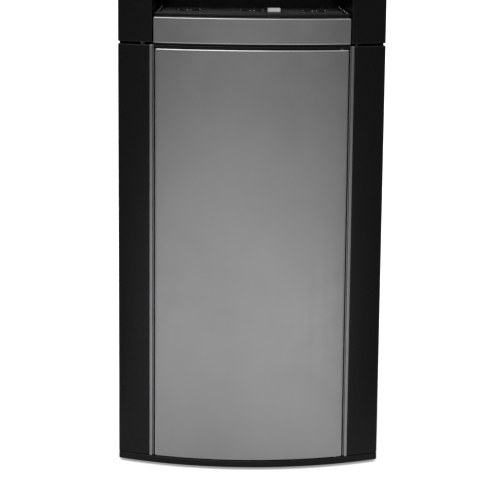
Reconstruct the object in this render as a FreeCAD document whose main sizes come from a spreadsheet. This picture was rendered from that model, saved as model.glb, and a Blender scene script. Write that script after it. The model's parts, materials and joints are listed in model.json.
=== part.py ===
import FreeCAD, Part
import math
import os
import re
import Sketcher
from FreeCAD import Rotation, Vector

# Floor-standing water dispenser: cabinet with a bowed door, drip tray and
# dispensing alcove, three taps, a control fascia and a bottle collar on top.
# Millimetres. The front faces -Y, the left side is at -X, +Z is up, and the
# origin is on the floor under the middle of the machine.

os.makedirs("parts", exist_ok=True)
doc = FreeCAD.newDocument("WaterDispenser")

DIMENSIONS = {
    # overall
    "body_width": 312, "body_depth": 340, "bow_radius": 350, "panel_back": 150,
    "wall": 2.5, "sheet": 1.5, "skin": 1.2, "play": 0.4,
    # levels
    "foot_height": 3, "plinth_top": 11, "door_bottom": 11.8, "pillar_bottom": 11.7,
    "door_top": 499.5, "deck_bottom": 500.5, "deck_top": 503.5,
    "strip_bottom": 505.8, "strip_top": 535.5, "upper_bottom": 506.3,
    "grille_bottom": 537, "grille_top": 541, "fascia_bottom": 770,
    "ceiling": 775, "head_top": 905, "cover_top": 935, "collar_top": 970,
    # front columns, trims and door
    "pillar_inner": 118.5, "upper_inner": 115.4, "pillar_back": -104,
    "trim_inner": 113.6, "trim_face": 3.1, "trim_step": 3, "trim_proud": 0.5, "trim_gap": 0.1,
    "trim_back": -127,
    "door_half": 112.4, "door_back": -130,
    "hinge_x": 104, "hinge_y": -150, "hinge_pin_radius": 2.2, "hinge_bore_radius": 2.25,
    "stile": 15,
    # storage cabinet
    "liner_half": 116, "liner_back": 26, "liner_bottom": 14, "liner_top": 500,
    # alcove and tray
    "alcove_back": 24, "alcove_corner": 20, "tray_half": 114.1, "tray_back": 22,
    "strip_thick": 3, "tray_wall": 2, "slot_width": 4.2, "slot_pitch": 8.25,
    "grille_rim": 9, "grille_front": 5, "rib_thick": 4,
    "target_radius": 16, "float_x": 26, "float_y": -104, "flag_half": 7.4, "flag_reach": 12.4,
    "flag_rise": 3.4, "float_travel": 8,
    # taps and controls
    "tap_pitch": 74, "tap_y": -85, "nozzle_tip": 741, "nozzle_radius": 9,
    "valve_radius": 13, "valve_top": 822,
    "button_z": 838, "button_radius": 16, "button_fit": 0.4, "lamp_z": 884, "lamp_pitch": 16,
    "board_y": -141.6, "lock_z": 884,
    # bottle well and cold side
    "well_y": 25, "collar_bore": 66, "tank_radius": 66, "coil_radius": 70, "coil_tube": 3, "coil_pitch": 12,
    "jacket_inner": 74, "jacket_outer": 86, "tank_bottom": 792, "lid_level": 893,
    # machine room
    "hot_x": -62, "hot_y": 84, "hot_radius": 44, "hot_bottom": 600, "hot_height": 140,
    "compressor_x": 34, "compressor_y": 89, "compressor_radius": 54,
    "condenser_y": 160.6, "condenser_tube": 2.5, "condenser_half": 122,
    "condenser_bottom": 330, "condenser_pitch": 36, "wire_radius": 1, "wire_pitch": 8.8,
    "service_z": 250, "louvre_bottom": 40, "louvre_pitch": 14, "louvre_width": 82, "louvre_height": 4,
    "inlet_x": -96, "knob_x": 96, "fitting_z": 259,
}

sheet = doc.addObject("Spreadsheet::Sheet", "Dims")
for row, (alias, value) in enumerate(DIMENSIONS.items(), 1):
    sheet.set(f"A{row}", alias)
    sheet.set(f"B{row}", str(value))
    sheet.setAlias(f"B{row}", alias)
doc.recompute()

LEFT, RIGHT = -1, 1
GRILLE_BARS = 20
LOUVRE_ROWS = 10
COIL_TURNS = 7
CONDENSER_ROWS = 15
CONDENSER_WIRES = 27
CROWN = "(bow_radius - body_depth / 2)"     # the bow's centre line, on the Y axis
parts = []


def bound(text):
    """An expression with every alias pointed at the sheet."""
    def point(match):
        word = match.group(0)
        return "Dims." + word if word in DIMENSIONS else word
    return re.sub(r"[a-z][a-z_0-9]*", point, str(text))


def place(shape, x="0", y="0", z="0"):
    """Binds a shape's position to the sheet."""
    for axis, text in zip("xyz", (x, y, z)):
        shape.setExpression("Placement.Base." + axis, bound(text))
    return shape


def part(shape):
    """Lists a finished sub-part for export."""
    parts.append(shape)
    return shape


def box(label, x, y, z):
    """A block between (low, high) pairs along each axis."""
    block = doc.addObject("Part::Box", label)
    for size, (low, high) in zip(("Length", "Width", "Height"), (x, y, z)):
        block.setExpression(size, bound(f"({high}) - ({low})"))
    return place(block, x[0], y[0], z[0])


def post(label, radius, z, x="0", y="0"):
    """An upright cylinder."""
    cylinder = doc.addObject("Part::Cylinder", label)
    cylinder.setExpression("Radius", bound(radius))
    cylinder.setExpression("Height", bound(f"({z[1]}) - ({z[0]})"))
    return place(cylinder, x, y, z[0])


def rod(label, radius, y, x="0", z="0"):
    """A cylinder that lies along Y."""
    cylinder = doc.addObject("Part::Cylinder", label)
    cylinder.setExpression("Radius", bound(radius))
    cylinder.setExpression("Height", bound(f"({y[1]}) - ({y[0]})"))
    cylinder.Placement = FreeCAD.Placement(Vector(), Rotation(Vector(1, 0, 0), -90))
    return place(cylinder, x, y[0], z)


def cut(label, base, *tools):
    """The base less every tool."""
    result = doc.addObject("Part::Cut", label)
    result.Base = base
    result.Tool = tools[0] if len(tools) == 1 else fuse(label + "_tools", *tools)
    return result


def fuse(label, *shapes):
    """Several shapes joined."""
    result = doc.addObject("Part::MultiFuse", label)
    result.Shapes = list(shapes)
    result.Refine = False
    return result


def common(label, first, second):
    """The space that two shapes share."""
    result = doc.addObject("Part::MultiCommon", label)
    result.Shapes = [first, second]
    return result


def bowed(label, block, inset="0"):
    """A block whose front follows the bow, set back by an inset."""
    drum = post(label + "_bow", f"bow_radius - ({inset})", ("-5", "1000"), "0", CROWN)
    return common(label, block, drum)


def handed(side, low, high):
    """An X range on the right side, or mirrored to the left."""
    return (low, high) if side == RIGHT else (f"-({high})", f"-({low})")


def outline_body(label, outline, plane, feature, **settings):
    """A PartDesign body: a closed outline on an origin plane, padded or revolved."""
    body = doc.addObject("PartDesign::Body", label)
    sketch = body.newObject("Sketcher::SketchObject", label + "_outline")
    origin_plane = next(item for item in body.Origin.OriginFeatures if item.Role == plane)
    sketch.AttachmentSupport = [(origin_plane, "")]
    sketch.MapMode = "FlatFace"
    count = len(outline)
    seeds = [Vector(10 * math.cos(2 * math.pi * i / count - 2.4),
                    10 * math.sin(2 * math.pi * i / count - 2.4), 0) for i in range(count)]
    for i in range(count):
        sketch.addGeometry(Part.LineSegment(seeds[i], seeds[(i + 1) % count]), False)
    for i in range(count):
        sketch.addConstraint(Sketcher.Constraint("Coincident", i, 2, (i + 1) % count, 1))
        for kind, text, seed in zip(("DistanceX", "DistanceY"), outline[i], (seeds[i].x, seeds[i].y)):
            index = sketch.addConstraint(Sketcher.Constraint(kind, -1, 1, i, 1, seed))
            sketch.setExpression(f"Constraints[{index}]", bound(text))
    made = body.newObject("PartDesign::" + feature, label + "_" + feature.lower())
    made.Profile = sketch
    for name, setting in settings.items():
        if isinstance(setting, str):
            made.setExpression(name, bound(setting))
        else:
            setattr(made, name, setting)
    if feature == "Revolution":
        made.ReferenceAxis = (sketch, ["V_Axis"])
    return body


def turned(label, outline, x="0", y="0", z="0"):
    """A body turned about its own upright axis from (radius, height) points."""
    return place(outline_body(label, outline, "XZ_Plane", "Revolution", Angle=360.0), x, y, z)


def column(label, outline, bottom, top):
    """A body padded upwards from a plan outline."""
    body = outline_body(label, outline, "XY_Plane", "Pad", Length=f"({top}) - ({bottom})")
    return place(body, "0", "0", bottom)


def rounded(label, base, radius, chosen):
    """Fillets the edges that a test picks."""
    doc.recompute()
    fillet = doc.addObject("Part::Fillet", label)
    fillet.Base = base
    size = sheet.get(radius) if isinstance(radius, str) else radius
    picked = [i for i, edge in enumerate(base.Shape.Edges, 1) if chosen(edge)]
    fillet.Edges = [(i, size, size) for i in picked]
    return fillet


def upright(edge):
    """True for a straight vertical edge."""
    box_ = edge.BoundBox
    return box_.XLength < 0.01 and box_.YLength < 0.01


def rear_upright(edge):
    """True for a vertical edge at the back of a piece that lies in the recess."""
    return upright(edge) and edge.CenterOfMass.y > size_of("tap_y")


def size_of(alias):
    """A driving dimension's value, for pieces made with Part's own functions."""
    return float(sheet.get(alias))


def bent_tube(label, points, radius, bend):
    """A round tube along straight runs joined by tangent arcs."""
    corners = [Vector(*p) for p in points]
    edges = []
    start = corners[0]
    for i in range(1, len(corners) - 1):
        before = (corners[i] - corners[i - 1]).normalize()
        after = (corners[i + 1] - corners[i]).normalize()
        turn = before.getAngle(after)
        reach = bend * math.tan(turn / 2)
        enter = corners[i] - before * reach
        leave = corners[i] + after * reach
        inward = (after - before).normalize()
        middle = corners[i] + inward * (bend / math.cos(turn / 2) - bend)
        edges.append(Part.LineSegment(start, enter).toShape())
        edges.append(Part.Arc(enter, middle, leave).toShape())
        start = leave
    edges.append(Part.LineSegment(start, corners[-1]).toShape())
    path = Part.Wire(edges)
    first = (corners[1] - corners[0]).normalize()
    ring = Part.Wire(Part.Circle(corners[0], first, radius).toShape())
    shape = path.makePipeShell([ring], True, True)
    feature = doc.addObject("Part::Feature", label)
    feature.Shape = shape
    return feature


# ---------------------------------------------------------------- carcass

def base_tray():
    """Moulded base: a bow-fronted dish turned upside down, with the plinth as its rim."""
    outer = box("base_block", ("-body_width / 2", "body_width / 2"), ("-body_depth / 2", "panel_back"),
                ("foot_height", "plinth_top"))
    hollow = box("base_room", ("-body_width / 2 + wall", "body_width / 2 - wall"),
                 ("-body_depth / 2", "panel_back - wall"), ("foot_height - 1", "plinth_top - wall"))
    pins = post("base_pin_bore", "hinge_pin_radius", ("0", "plinth_top + 1"), "hinge_x", "hinge_y")
    part(cut("base_tray", bowed("base_outer", outer), bowed("base_hollow", hollow, "wall"), pins))


def feet():
    """Four rubber feet pressed against the underside of the base."""
    pads = []
    for i, (x, y) in enumerate(((LEFT, -108), (RIGHT, -108), (LEFT, 124), (RIGHT, 124)), 1):
        pads.append(turned(f"foot_{i}", [("0", "0"), ("12", "0"), ("14", "2"), ("11", "plinth_top - wall"),
                                         ("0", "plinth_top - wall")], str(x * 124), str(y)))
    part(fuse("feet", *pads))


def side_panels():
    """Folded sheet side panels, with a flange turned in at the back."""
    for side, word in ((LEFT, "left"), (RIGHT, "right")):
        s = f"({side})"
        plan = [(f"{s} * body_width / 2", "pillar_back + play"), (f"{s} * body_width / 2", "panel_back"),
                (f"{s} * (body_width / 2 - 14)", "panel_back"),
                (f"{s} * (body_width / 2 - 14)", "panel_back - sheet"),
                (f"{s} * (body_width / 2 - sheet)", "panel_back - sheet"),
                (f"{s} * (body_width / 2 - sheet)", "pillar_back + play")]
        part(column(f"{word}_side_panel", plan, "pillar_bottom", "head_top"))


def pillars():
    """Hollow front columns, lower and upper, whose faces follow the bow."""
    for side, word in ((LEFT, "left"), (RIGHT, "right")):
        for level, inner, bottom, top in (("lower", "pillar_inner", "pillar_bottom", "deck_top"),
                                          ("upper", "upper_inner", "upper_bottom", "head_top")):
            name = f"{level}_{word}_pillar"
            outer = box(name + "_block", handed(side, inner, "body_width / 2"),
                        ("-body_depth / 2", "pillar_back"), (bottom, top))
            room = box(name + "_room", handed(side, inner + " + wall", "body_width / 2 - wall"),
                       ("-body_depth / 2", "pillar_back + 1"), (bottom + " + wall", top + " - wall"))
            part(cut(name, bowed(name + "_outer", outer), bowed(name + "_hollow", room, "wall")))


def back_panel():
    """Flat rear sheet with louvre slots and openings for the service fittings."""
    plate = box("back_plate", ("-body_width / 2 + 14.4", "body_width / 2 - 14.4"),
                ("panel_back - sheet", "panel_back"), ("pillar_bottom", "head_top - play"))
    tools = []
    for i in range(LOUVRE_ROWS):
        for word, x in (("a", "-14 - louvre_width"), ("b", "14")):
            z = f"louvre_bottom + {i} * louvre_pitch"
            tools.append(box(f"louvre_{word}{i}", (x, x + " + louvre_width"),
                             ("panel_back - 5", "panel_back + 5"), (z, z + " + louvre_height")))
    tools.append(box("inlet_window", ("inlet_x - 14", "inlet_x + 14"), ("panel_back - 5", "panel_back + 5"),
                     ("service_z - 46", "service_z - 26")))
    tools.append(box("switch_window", ("inlet_x - 20", "inlet_x + 20"), ("panel_back - 5", "panel_back + 5"),
                     ("service_z - 3", "service_z + 21")))
    tools.append(rod("knob_hole", "4", ("panel_back - 5", "panel_back + 5"), "knob_x", "fitting_z"))
    tools.append(rod("drain_hole", "9", ("panel_back - 5", "panel_back + 5"), "0", "fitting_z"))
    part(cut("back_panel", plate, *tools))


def mid_deck():
    """Deck between the storage cabinet and the alcove; its front edge frames the door top."""
    plate = box("deck_plate", ("-trim_inner + 0.2", "trim_inner - 0.2"),
                ("-body_depth / 2", "30"), ("deck_bottom", "deck_top"))
    pin = post("deck_pin_bore", "hinge_pin_radius", ("deck_bottom - 1", "deck_top + 1"), "hinge_x", "hinge_y")
    part(cut("mid_deck", bowed("deck_outer", plate, "0.6"), pin))


def cabinet_liner():
    """Storage compartment: a moulded box open to the front."""
    outer = box("liner_outer", ("-liner_half", "liner_half"), ("trim_back + play", "liner_back"),
                ("liner_bottom", "liner_top"))
    room = box("liner_room", ("-liner_half + wall", "liner_half - wall"),
               ("trim_back - 5", "liner_back - wall"), ("liner_bottom + wall", "liner_top - wall"))
    part(cut("cabinet_liner", outer, room))


# ---------------------------------------------------------------- door

def door_trims():
    """Satin strips between the pillars and the door, with a sunk ledge beside the door's edge."""
    for side, word in ((LEFT, "left"), (RIGHT, "right")):
        height = ("pillar_bottom", "deck_top - trim_gap")
        ledge = box(f"{word}_trim_ledge", handed(side, "trim_inner", "pillar_inner - trim_gap"),
                    ("-body_depth / 2", "trim_back"), height)
        bar = box(f"{word}_trim_bar",
                  handed(side, "pillar_inner - trim_gap - trim_face", "pillar_inner - trim_gap"),
                  ("-body_depth / 2", "trim_back"), height)
        part(fuse(f"{word}_door_trim", bowed(f"{word}_trim_low", ledge, "trim_step"),
                  bowed(f"{word}_trim_high", bar, "-trim_proud")))


def door():
    """Bowed steel skin over a moulded liner, with a seal behind and pin bores at the right edge."""
    width = ("-door_half", "door_half")
    depth = ("-body_depth / 2", "door_back - 4")
    height = ("door_bottom", "door_top")
    outer = bowed("skin_outer", box("skin_block", width, depth, height))
    inner = bowed("skin_inner", box("skin_room", ("-door_half + skin", "door_half - skin"),
                                    ("-body_depth / 2", "door_back + 1"),
                                    ("door_bottom + skin", "door_top - skin")), "skin")
    pin_line = post("skin_pin_bore", "hinge_pin_radius + 0.4", ("0", "deck_top"), "hinge_x", "hinge_y")
    part(cut("door_skin", outer, inner, pin_line))

    core = bowed("liner_core", box("liner_block", ("-door_half + skin", "door_half - skin"),
                                   ("-body_depth / 2", "door_back"),
                                   ("door_bottom + skin", "door_top - skin")), "skin")
    pocket = bowed("liner_pocket", box("liner_pocket_block", ("-door_half + stile", "door_half - stile"),
                                       ("-body_depth / 2", "door_back - wall"),
                                       ("door_bottom + stile", "door_top - stile")))
    bore = post("door_pin_bore", "hinge_bore_radius", ("0", "deck_top"), "hinge_x", "hinge_y")
    part(cut("door_liner", core, pocket, bore))

    ring = box("seal_outer", ("-door_half + 4", "door_half - 8"), ("door_back", "door_back + 2.6"),
               ("door_bottom + 6", "door_top - 6"))
    gap = box("seal_room", ("-door_half + 10", "door_half - 14"), ("door_back - 1", "door_back + 4"),
              ("door_bottom + 12", "door_top - 12"))
    part(cut("door_seal", ring, gap))

    lower = post("lower_hinge_pin", "hinge_pin_radius", ("foot_height + 1", "door_bottom + 11"),
                 "hinge_x", "hinge_y")
    upper = post("upper_hinge_pin", "hinge_pin_radius", ("door_top - 11", "deck_top"), "hinge_x", "hinge_y")
    part(fuse("hinge_pins", lower, upper))


def catch():
    """Magnet block inside the cabinet's left wall, behind the door's free edge."""
    part(box("catch_magnet", ("-liner_half + wall", "-liner_half + wall + 7"),
             ("door_back + 4.2", "door_back + 16"), ("250", "290")))


# ---------------------------------------------------------------- drip tray

def drip_tray():
    """Pan and front strip that pull out together."""
    block = box("pan_block", ("-tray_half", "tray_half"), ("-body_depth / 2", "tray_back"),
                ("deck_top + play", "grille_bottom - 0.3"))
    outer = bowed("pan_outer", rounded("pan_soft_block", block, "alcove_corner", rear_upright),
                  "strip_thick + 0.05")
    hollow = box("pan_hollow", ("-tray_half + tray_wall", "tray_half - tray_wall"),
                 ("-body_depth / 2", "tray_back - tray_wall"), ("deck_top + play + tray_wall", "grille_top"))
    room = bowed("pan_room", rounded("pan_soft_hollow", hollow, "alcove_corner", rear_upright),
                 "strip_thick + tray_wall")
    part(cut("tray_pan", outer, room))
    face = bowed("strip_outer", box("strip_block", ("-tray_half", "tray_half"), ("-body_depth / 2", "-128"),
                                    ("strip_bottom", "strip_top")))
    back = post("strip_back", "bow_radius - strip_thick", ("0", "grille_top"), "0", CROWN)
    part(cut("tray_strip", face, back))


def drip_grille():
    """Slotted plate with three round targets and a hole for the float."""
    block = box("grille_block", ("-tray_half - 1", "tray_half + 1"), ("-body_depth / 2", "tray_back"),
                ("grille_bottom", "grille_top"))
    plate = bowed("grille_outer", rounded("grille_soft_block", block, "alcove_corner", rear_upright),
                  "grille_front")
    open_block = box("grille_open_block", ("-tray_half + grille_rim", "tray_half - grille_rim"),
                     ("-body_depth / 2", "tray_back - grille_rim"), ("grille_bottom - 1", "grille_top + 1"))
    field = bowed("grille_field", rounded("grille_soft_field", open_block, "alcove_corner", rear_upright),
                  "grille_front + grille_rim + 1")
    bars = []
    for i in range(GRILLE_BARS):
        y = f"tray_back - grille_rim - {i} * slot_pitch"
        bars.append(box(f"grille_bar_{i}", ("-tray_half", "tray_half"), (f"{y} - slot_pitch + slot_width", y),
                        ("grille_bottom + 0.5", "grille_top")))
    for word, x in (("left", "-tap_pitch / 2"), ("right", "tap_pitch / 2")):
        bars.append(box(f"grille_{word}_rib", (x + " - rib_thick / 2", x + " + rib_thick / 2"),
                        ("-body_depth / 2", "tray_back"), ("grille_bottom", "grille_top - 1")))
    for word, x in (("left", "-tap_pitch"), ("middle", "0"), ("right", "tap_pitch")):
        disc = post(f"target_{word}_disc", "target_radius", ("grille_bottom", "grille_top"), x, "tap_y")
        well = post(f"target_{word}_well", "target_radius - 3", ("grille_bottom + 2", "grille_top + 1"),
                    x, "tap_y")
        bars.append(cut(f"target_{word}", disc, well))
    bars.append(box("float_frame", ("float_x - flag_half - 3.6", "float_x + flag_half + 3.6"),
                    ("float_y - flag_reach - 3.6", "float_y + flag_reach + 3.6"),
                    ("grille_bottom", "grille_top")))
    slots = cut("grille_slots", field, *bars)
    hole = box("float_window", ("float_x - flag_half - 0.6", "float_x + flag_half + 0.6"),
               ("float_y - flag_reach - 0.6", "float_y + flag_reach + 0.6"),
               ("grille_bottom - 1", "grille_top + 1"))
    part(cut("drip_grille", plate, slots, hole))


def tray_float():
    """White float that lifts its flag through the grille as the tray fills."""
    flag = box("float_flag", ("float_x - flag_half", "float_x + flag_half"),
               ("float_y - flag_reach", "float_y + flag_reach"),
               ("grille_bottom - float_travel - 6", "grille_top + flag_rise"))
    hull = box("float_hull", ("float_x - flag_half - 4.6", "float_x + flag_half + 4.6"),
               ("float_y - flag_reach - 3.6", "float_y + flag_reach + 3.6"),
               ("deck_top + 6", "grille_bottom - float_travel - 5"))
    part(fuse("tray_float", flag, hull))


# ---------------------------------------------------------------- alcove and head

def alcove_shell():
    """Back and cheeks of the dispensing recess, with rounded rear corners."""
    top = "ceiling + 3"
    outer = box("alcove_block", ("-upper_inner - 2", "upper_inner + 2"),
                ("pillar_back + play", "alcove_back + 2"), ("deck_top", top))
    room = box("alcove_room", ("-upper_inner", "upper_inner"), ("pillar_back - 5", "alcove_back"),
               ("deck_top - 1", "ceiling + 4"))
    rear_outer = rounded("alcove_outer", outer, size_of("alcove_corner") + 2, rear_upright)
    rear_room = rounded("alcove_inner", room, "alcove_corner", rear_upright)
    part(cut("alcove_shell", rear_outer, rear_room))


def head_deck():
    """Ceiling of the recess, pierced by the three nozzles."""
    slab = box("ceiling_block", ("-upper_inner + play", "upper_inner - play"),
               ("-body_depth / 2", "alcove_back - 22"), ("ceiling", "ceiling + 3"))
    plate = bowed("ceiling_plate", slab, "4")
    holes = [post(f"nozzle_hole_{i}", "nozzle_radius + 2.2", ("ceiling - 1", "ceiling + 4"),
                  f"{i} * tap_pitch", "tap_y") for i in (-1, 0, 1)]
    part(cut("head_deck", plate, *holes))


def head_fascia():
    """Bowed control panel over the recess, pierced for buttons, lock and lamps."""
    width = ("-tray_half", "tray_half")
    outer = bowed("fascia_outer", box("fascia_block", width, ("-body_depth / 2", "-126"),
                                      ("fascia_bottom", "head_top - play")))
    room = bowed("fascia_room", box("fascia_hollow", ("-tray_half + wall", "tray_half - wall"),
                                    ("-body_depth / 2", "-120"),
                                    ("fascia_bottom + wall", "head_top - play - wall")), "wall")
    deck_relief = box("fascia_relief", ("-tray_half - 1", "tray_half + 1"), ("-165", "-120"),
                      ("ceiling - 0.2", "ceiling + 3.2"))
    tools = [room, bowed("fascia_relief_bow", deck_relief, "wall")]
    for i in (-1, 0, 1):
        tools.append(rod(f"button_hole_{i}", "button_radius + button_fit", ("-body_depth / 2 - 5", "-120"),
                         f"{i} * tap_pitch", "button_z"))
        tools.append(rod(f"lamp_hole_{i}", "2.05", ("-body_depth / 2 - 5", "-120"),
                         f"{i} * lamp_pitch", "lamp_z"))
    tools.append(box("lock_slot", ("-tap_pitch - 4", "-tap_pitch + 4"), ("-body_depth / 2 - 5", "-120"),
                     ("lock_z - 13", "lock_z + 8")))
    part(cut("head_fascia", outer, *tools))


def controls():
    """Three push buttons, the hot-water lock, the lamps and the circuit board."""
    for i, word in ((-1, "hot"), (0, "room"), (1, "cold")):
        x = f"({i}) * tap_pitch"
        cap = bowed(f"{word}_cap", rod(f"{word}_cap_rod", "button_radius",
                                       ("-body_depth / 2", "board_y - 8"), x, "button_z"), "0.2")
        flange = bowed(f"{word}_flange", rod(f"{word}_flange_rod", "button_radius + 2",
                                             ("-body_depth / 2", "board_y - 8"), x, "button_z"), "wall + 0.3")
        part(fuse(f"{word}_button", cap, flange))
    knob = bowed("lock_knob", box("lock_knob_block", ("-tap_pitch - 3.6", "-tap_pitch + 3.6"),
                                  ("-body_depth / 2", "-152"), ("lock_z - 2", "lock_z + 7.6")), "0.2")
    slide = bowed("lock_slide", box("lock_slide_block", ("-tap_pitch - 6.5", "-tap_pitch + 6.5"),
                                    ("-body_depth / 2", "-152"), ("lock_z - 5", "lock_z + 10")), "wall + 0.3")
    part(fuse("lock_slider", knob, slide))
    lamps = [rod(f"lamp_{i}", "1.95", ("-body_depth / 2 + 0.8", "board_y"), f"({i}) * lamp_pitch", "lamp_z")
             for i in (-1, 0, 1)]
    rail = box("lamp_rail", ("-lamp_pitch - 4", "lamp_pitch + 4"), ("board_y - 4", "board_y - 0.1"),
               ("lamp_z - 4", "lamp_z + 4"))
    part(fuse("indicator_lamps", rail, *lamps))
    board = box("board_plate", ("-100", "100"), ("board_y", "board_y + 1.6"),
                ("button_z - 30", "lamp_z + 10"))
    switches = [box(f"board_switch_{i}", (f"{i} * tap_pitch - 4", f"{i} * tap_pitch + 4"),
                    ("board_y - 3", "board_y + 0.5"), ("button_z - 4", "button_z + 4")) for i in (-1, 0, 1)]
    part(fuse("control_board", board, *switches))


def taps():
    """Valve body above the ceiling and a tapered nozzle below it, three times."""
    for i, word in ((-1, "hot"), (0, "room"), (1, "cold")):
        x = f"({i}) * tap_pitch"
        body = post(f"{word}_valve_body", "valve_radius", ("ceiling + 12", "valve_top"), x, "tap_y")
        port = rod(f"{word}_valve_port", "5", ("tap_y", "tap_y + valve_radius + 6"), x, "ceiling + 28")
        part(fuse(f"{word}_valve", body, port))
        part(turned(f"{word}_nozzle",
                    [("3.5", "nozzle_tip"), ("nozzle_radius - 3", "nozzle_tip"),
                     ("nozzle_radius - 2", "nozzle_tip + 8"), ("nozzle_radius", "nozzle_tip + 22"),
                     ("nozzle_radius", "ceiling - 6"), ("nozzle_radius + 5", "ceiling - 5"),
                     ("nozzle_radius + 5", "ceiling - 0.2"), ("nozzle_radius + 2", "ceiling - 0.2"),
                     ("nozzle_radius + 2", "ceiling + 12"), ("3.5", "ceiling + 12")], x, "tap_y"))


def top_cover():
    """Moulded lid of the machine, bow-fronted like the body, open in the middle for the bottle."""
    outer = bowed("cover_block", box("cover_plate", ("-body_width / 2", "body_width / 2"),
                                     ("-body_depth / 2", "panel_back"), ("head_top + 0.6", "cover_top")))
    soft = rounded("cover_outer", outer, 7.0, lambda edge: edge.BoundBox.ZMin > size_of("cover_top") - 0.1)
    room = bowed("cover_room", box("cover_hollow", ("-body_width / 2 + wall", "body_width / 2 - wall"),
                                   ("-body_depth / 2", "panel_back - wall"),
                                   ("head_top", "cover_top - 8")), "wall")
    well = post("cover_well", "collar_bore + 10", ("head_top", "cover_top + 5"), "0", "well_y")
    part(cut("top_cover", soft, room, well))


def bottle_collar():
    """Funnel ring that takes a bottle's shoulder and lifts off for cleaning."""
    part(turned("bottle_collar",
                [("collar_bore", "cover_top - 14"), ("collar_bore + 8", "cover_top - 14"),
                 ("collar_bore + 8", "cover_top + 0.2"), ("collar_bore + 34", "cover_top + 0.2"),
                 ("collar_bore + 34", "cover_top + 3"), ("collar_bore + 30", "cover_top + 8"),
                 ("collar_bore + 24", "collar_top - 6"), ("collar_bore + 20", "collar_top"),
                 ("collar_bore + 14", "collar_top"), ("collar_bore + 6", "collar_top - 8"),
                 ("collar_bore", "collar_top - 12")], "0", "well_y"))


def cold_side():
    """Tank under the bottle, its lid with the feed probe, the evaporator coil and the foam jacket."""
    part(turned("cold_tank",
                [("0", "tank_bottom"), ("tank_radius", "tank_bottom"), ("tank_radius", "lid_level"),
                 ("tank_radius - skin", "lid_level"), ("tank_radius - skin", "tank_bottom + skin"),
                 ("0", "tank_bottom + skin")], "0", "well_y"))
    part(turned("feed_probe",
                [("4", "lid_level + 0.2"), ("tank_radius + 4", "lid_level + 0.2"),
                 ("tank_radius + 4", "lid_level + 26"), ("tank_radius + 2", "lid_level + 26"),
                 ("tank_radius + 2", "lid_level + 3"), ("9", "lid_level + 3"), ("8", "lid_level + 18"),
                 ("5.5", "lid_level + 25"), ("4", "lid_level + 25")], "0", "well_y"))
    part(turned("cold_tank_jacket",
                [("0", "tank_bottom - 10"), ("jacket_outer", "tank_bottom - 10"),
                 ("jacket_outer", "head_top - 6"), ("jacket_inner", "head_top - 6"),
                 ("jacket_inner", "tank_bottom - 0.2"), ("0", "tank_bottom - 0.2")], "0", "well_y"))
    turns = []
    for i in range(COIL_TURNS):
        ring = doc.addObject("Part::Torus", f"coil_turn_{i}")
        ring.setExpression("Radius1", bound("coil_radius"))
        ring.setExpression("Radius2", bound("coil_tube"))
        level = f"tank_bottom + 14 + {i} * coil_pitch"
        turns.append(place(ring, "0", "well_y", level))
        if i:
            turns.append(post(f"coil_riser_{i}", "coil_tube - 0.6", (f"{level} - coil_pitch", level),
                              f"({-1 if i % 2 else 1}) * coil_radius", "well_y"))
    part(fuse("evaporator_coil", *turns))


def hot_side():
    """Hot tank with domed ends and its foam jacket."""
    top = "hot_height"
    part(turned("hot_tank",
                [("0", "0"), ("hot_radius - 14", "1"), ("hot_radius - 4", "5"), ("hot_radius", "12"),
                 ("hot_radius", f"{top} - 12"), ("hot_radius - 4", f"{top} - 5"),
                 ("hot_radius - 14", f"{top} - 1"), ("3", top), ("3", f"{top} - skin"),
                 ("hot_radius - 15", f"{top} - 1 - skin"), ("hot_radius - 5", f"{top} - 6 - skin"),
                 ("hot_radius - skin", f"{top} - 13 - skin"), ("hot_radius - skin", "13 + skin"),
                 ("hot_radius - 5", "6 + skin"), ("hot_radius - 15", "1 + skin"), ("0", "skin")],
                "hot_x", "hot_y", "hot_bottom"))
    part(turned("hot_tank_jacket",
                [("hot_radius + 0.3", "10"), ("hot_radius + 9", "10"), ("hot_radius + 9", f"{top} - 10"),
                 ("hot_radius + 0.3", f"{top} - 10")], "hot_x", "hot_y", "hot_bottom"))


def compressor():
    """Domed shell with its foot plate, on four rubber mounts."""
    r = "compressor_radius"
    shell = turned("compressor_shell",
                   [("0", "24"), (f"{r} - 8", "24"), (r, "34"), (r, "90"), (f"{r} + 2.5", "91"),
                    (f"{r} + 2.5", "96"), (r, "97"), (r, "128"), (f"{r} - 7", "146"),
                    (f"{r} - 22", "158"), ("0", "163")], "compressor_x", "compressor_y")
    foot = box("compressor_foot", ("compressor_x - 76", "compressor_x + 76"),
               ("compressor_y - 46", "compressor_y + 46"), ("22", "25"))
    part(fuse("compressor", shell, foot))
    mounts = [post(f"mount_{i}", "8", ("plinth_top", "22"), f"compressor_x + {x}", f"compressor_y + {y}")
              for i, (x, y) in enumerate(((-66, -36), (66, -36), (-66, 36), (66, 36)), 1)]
    part(fuse("compressor_mounts", *mounts))


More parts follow.
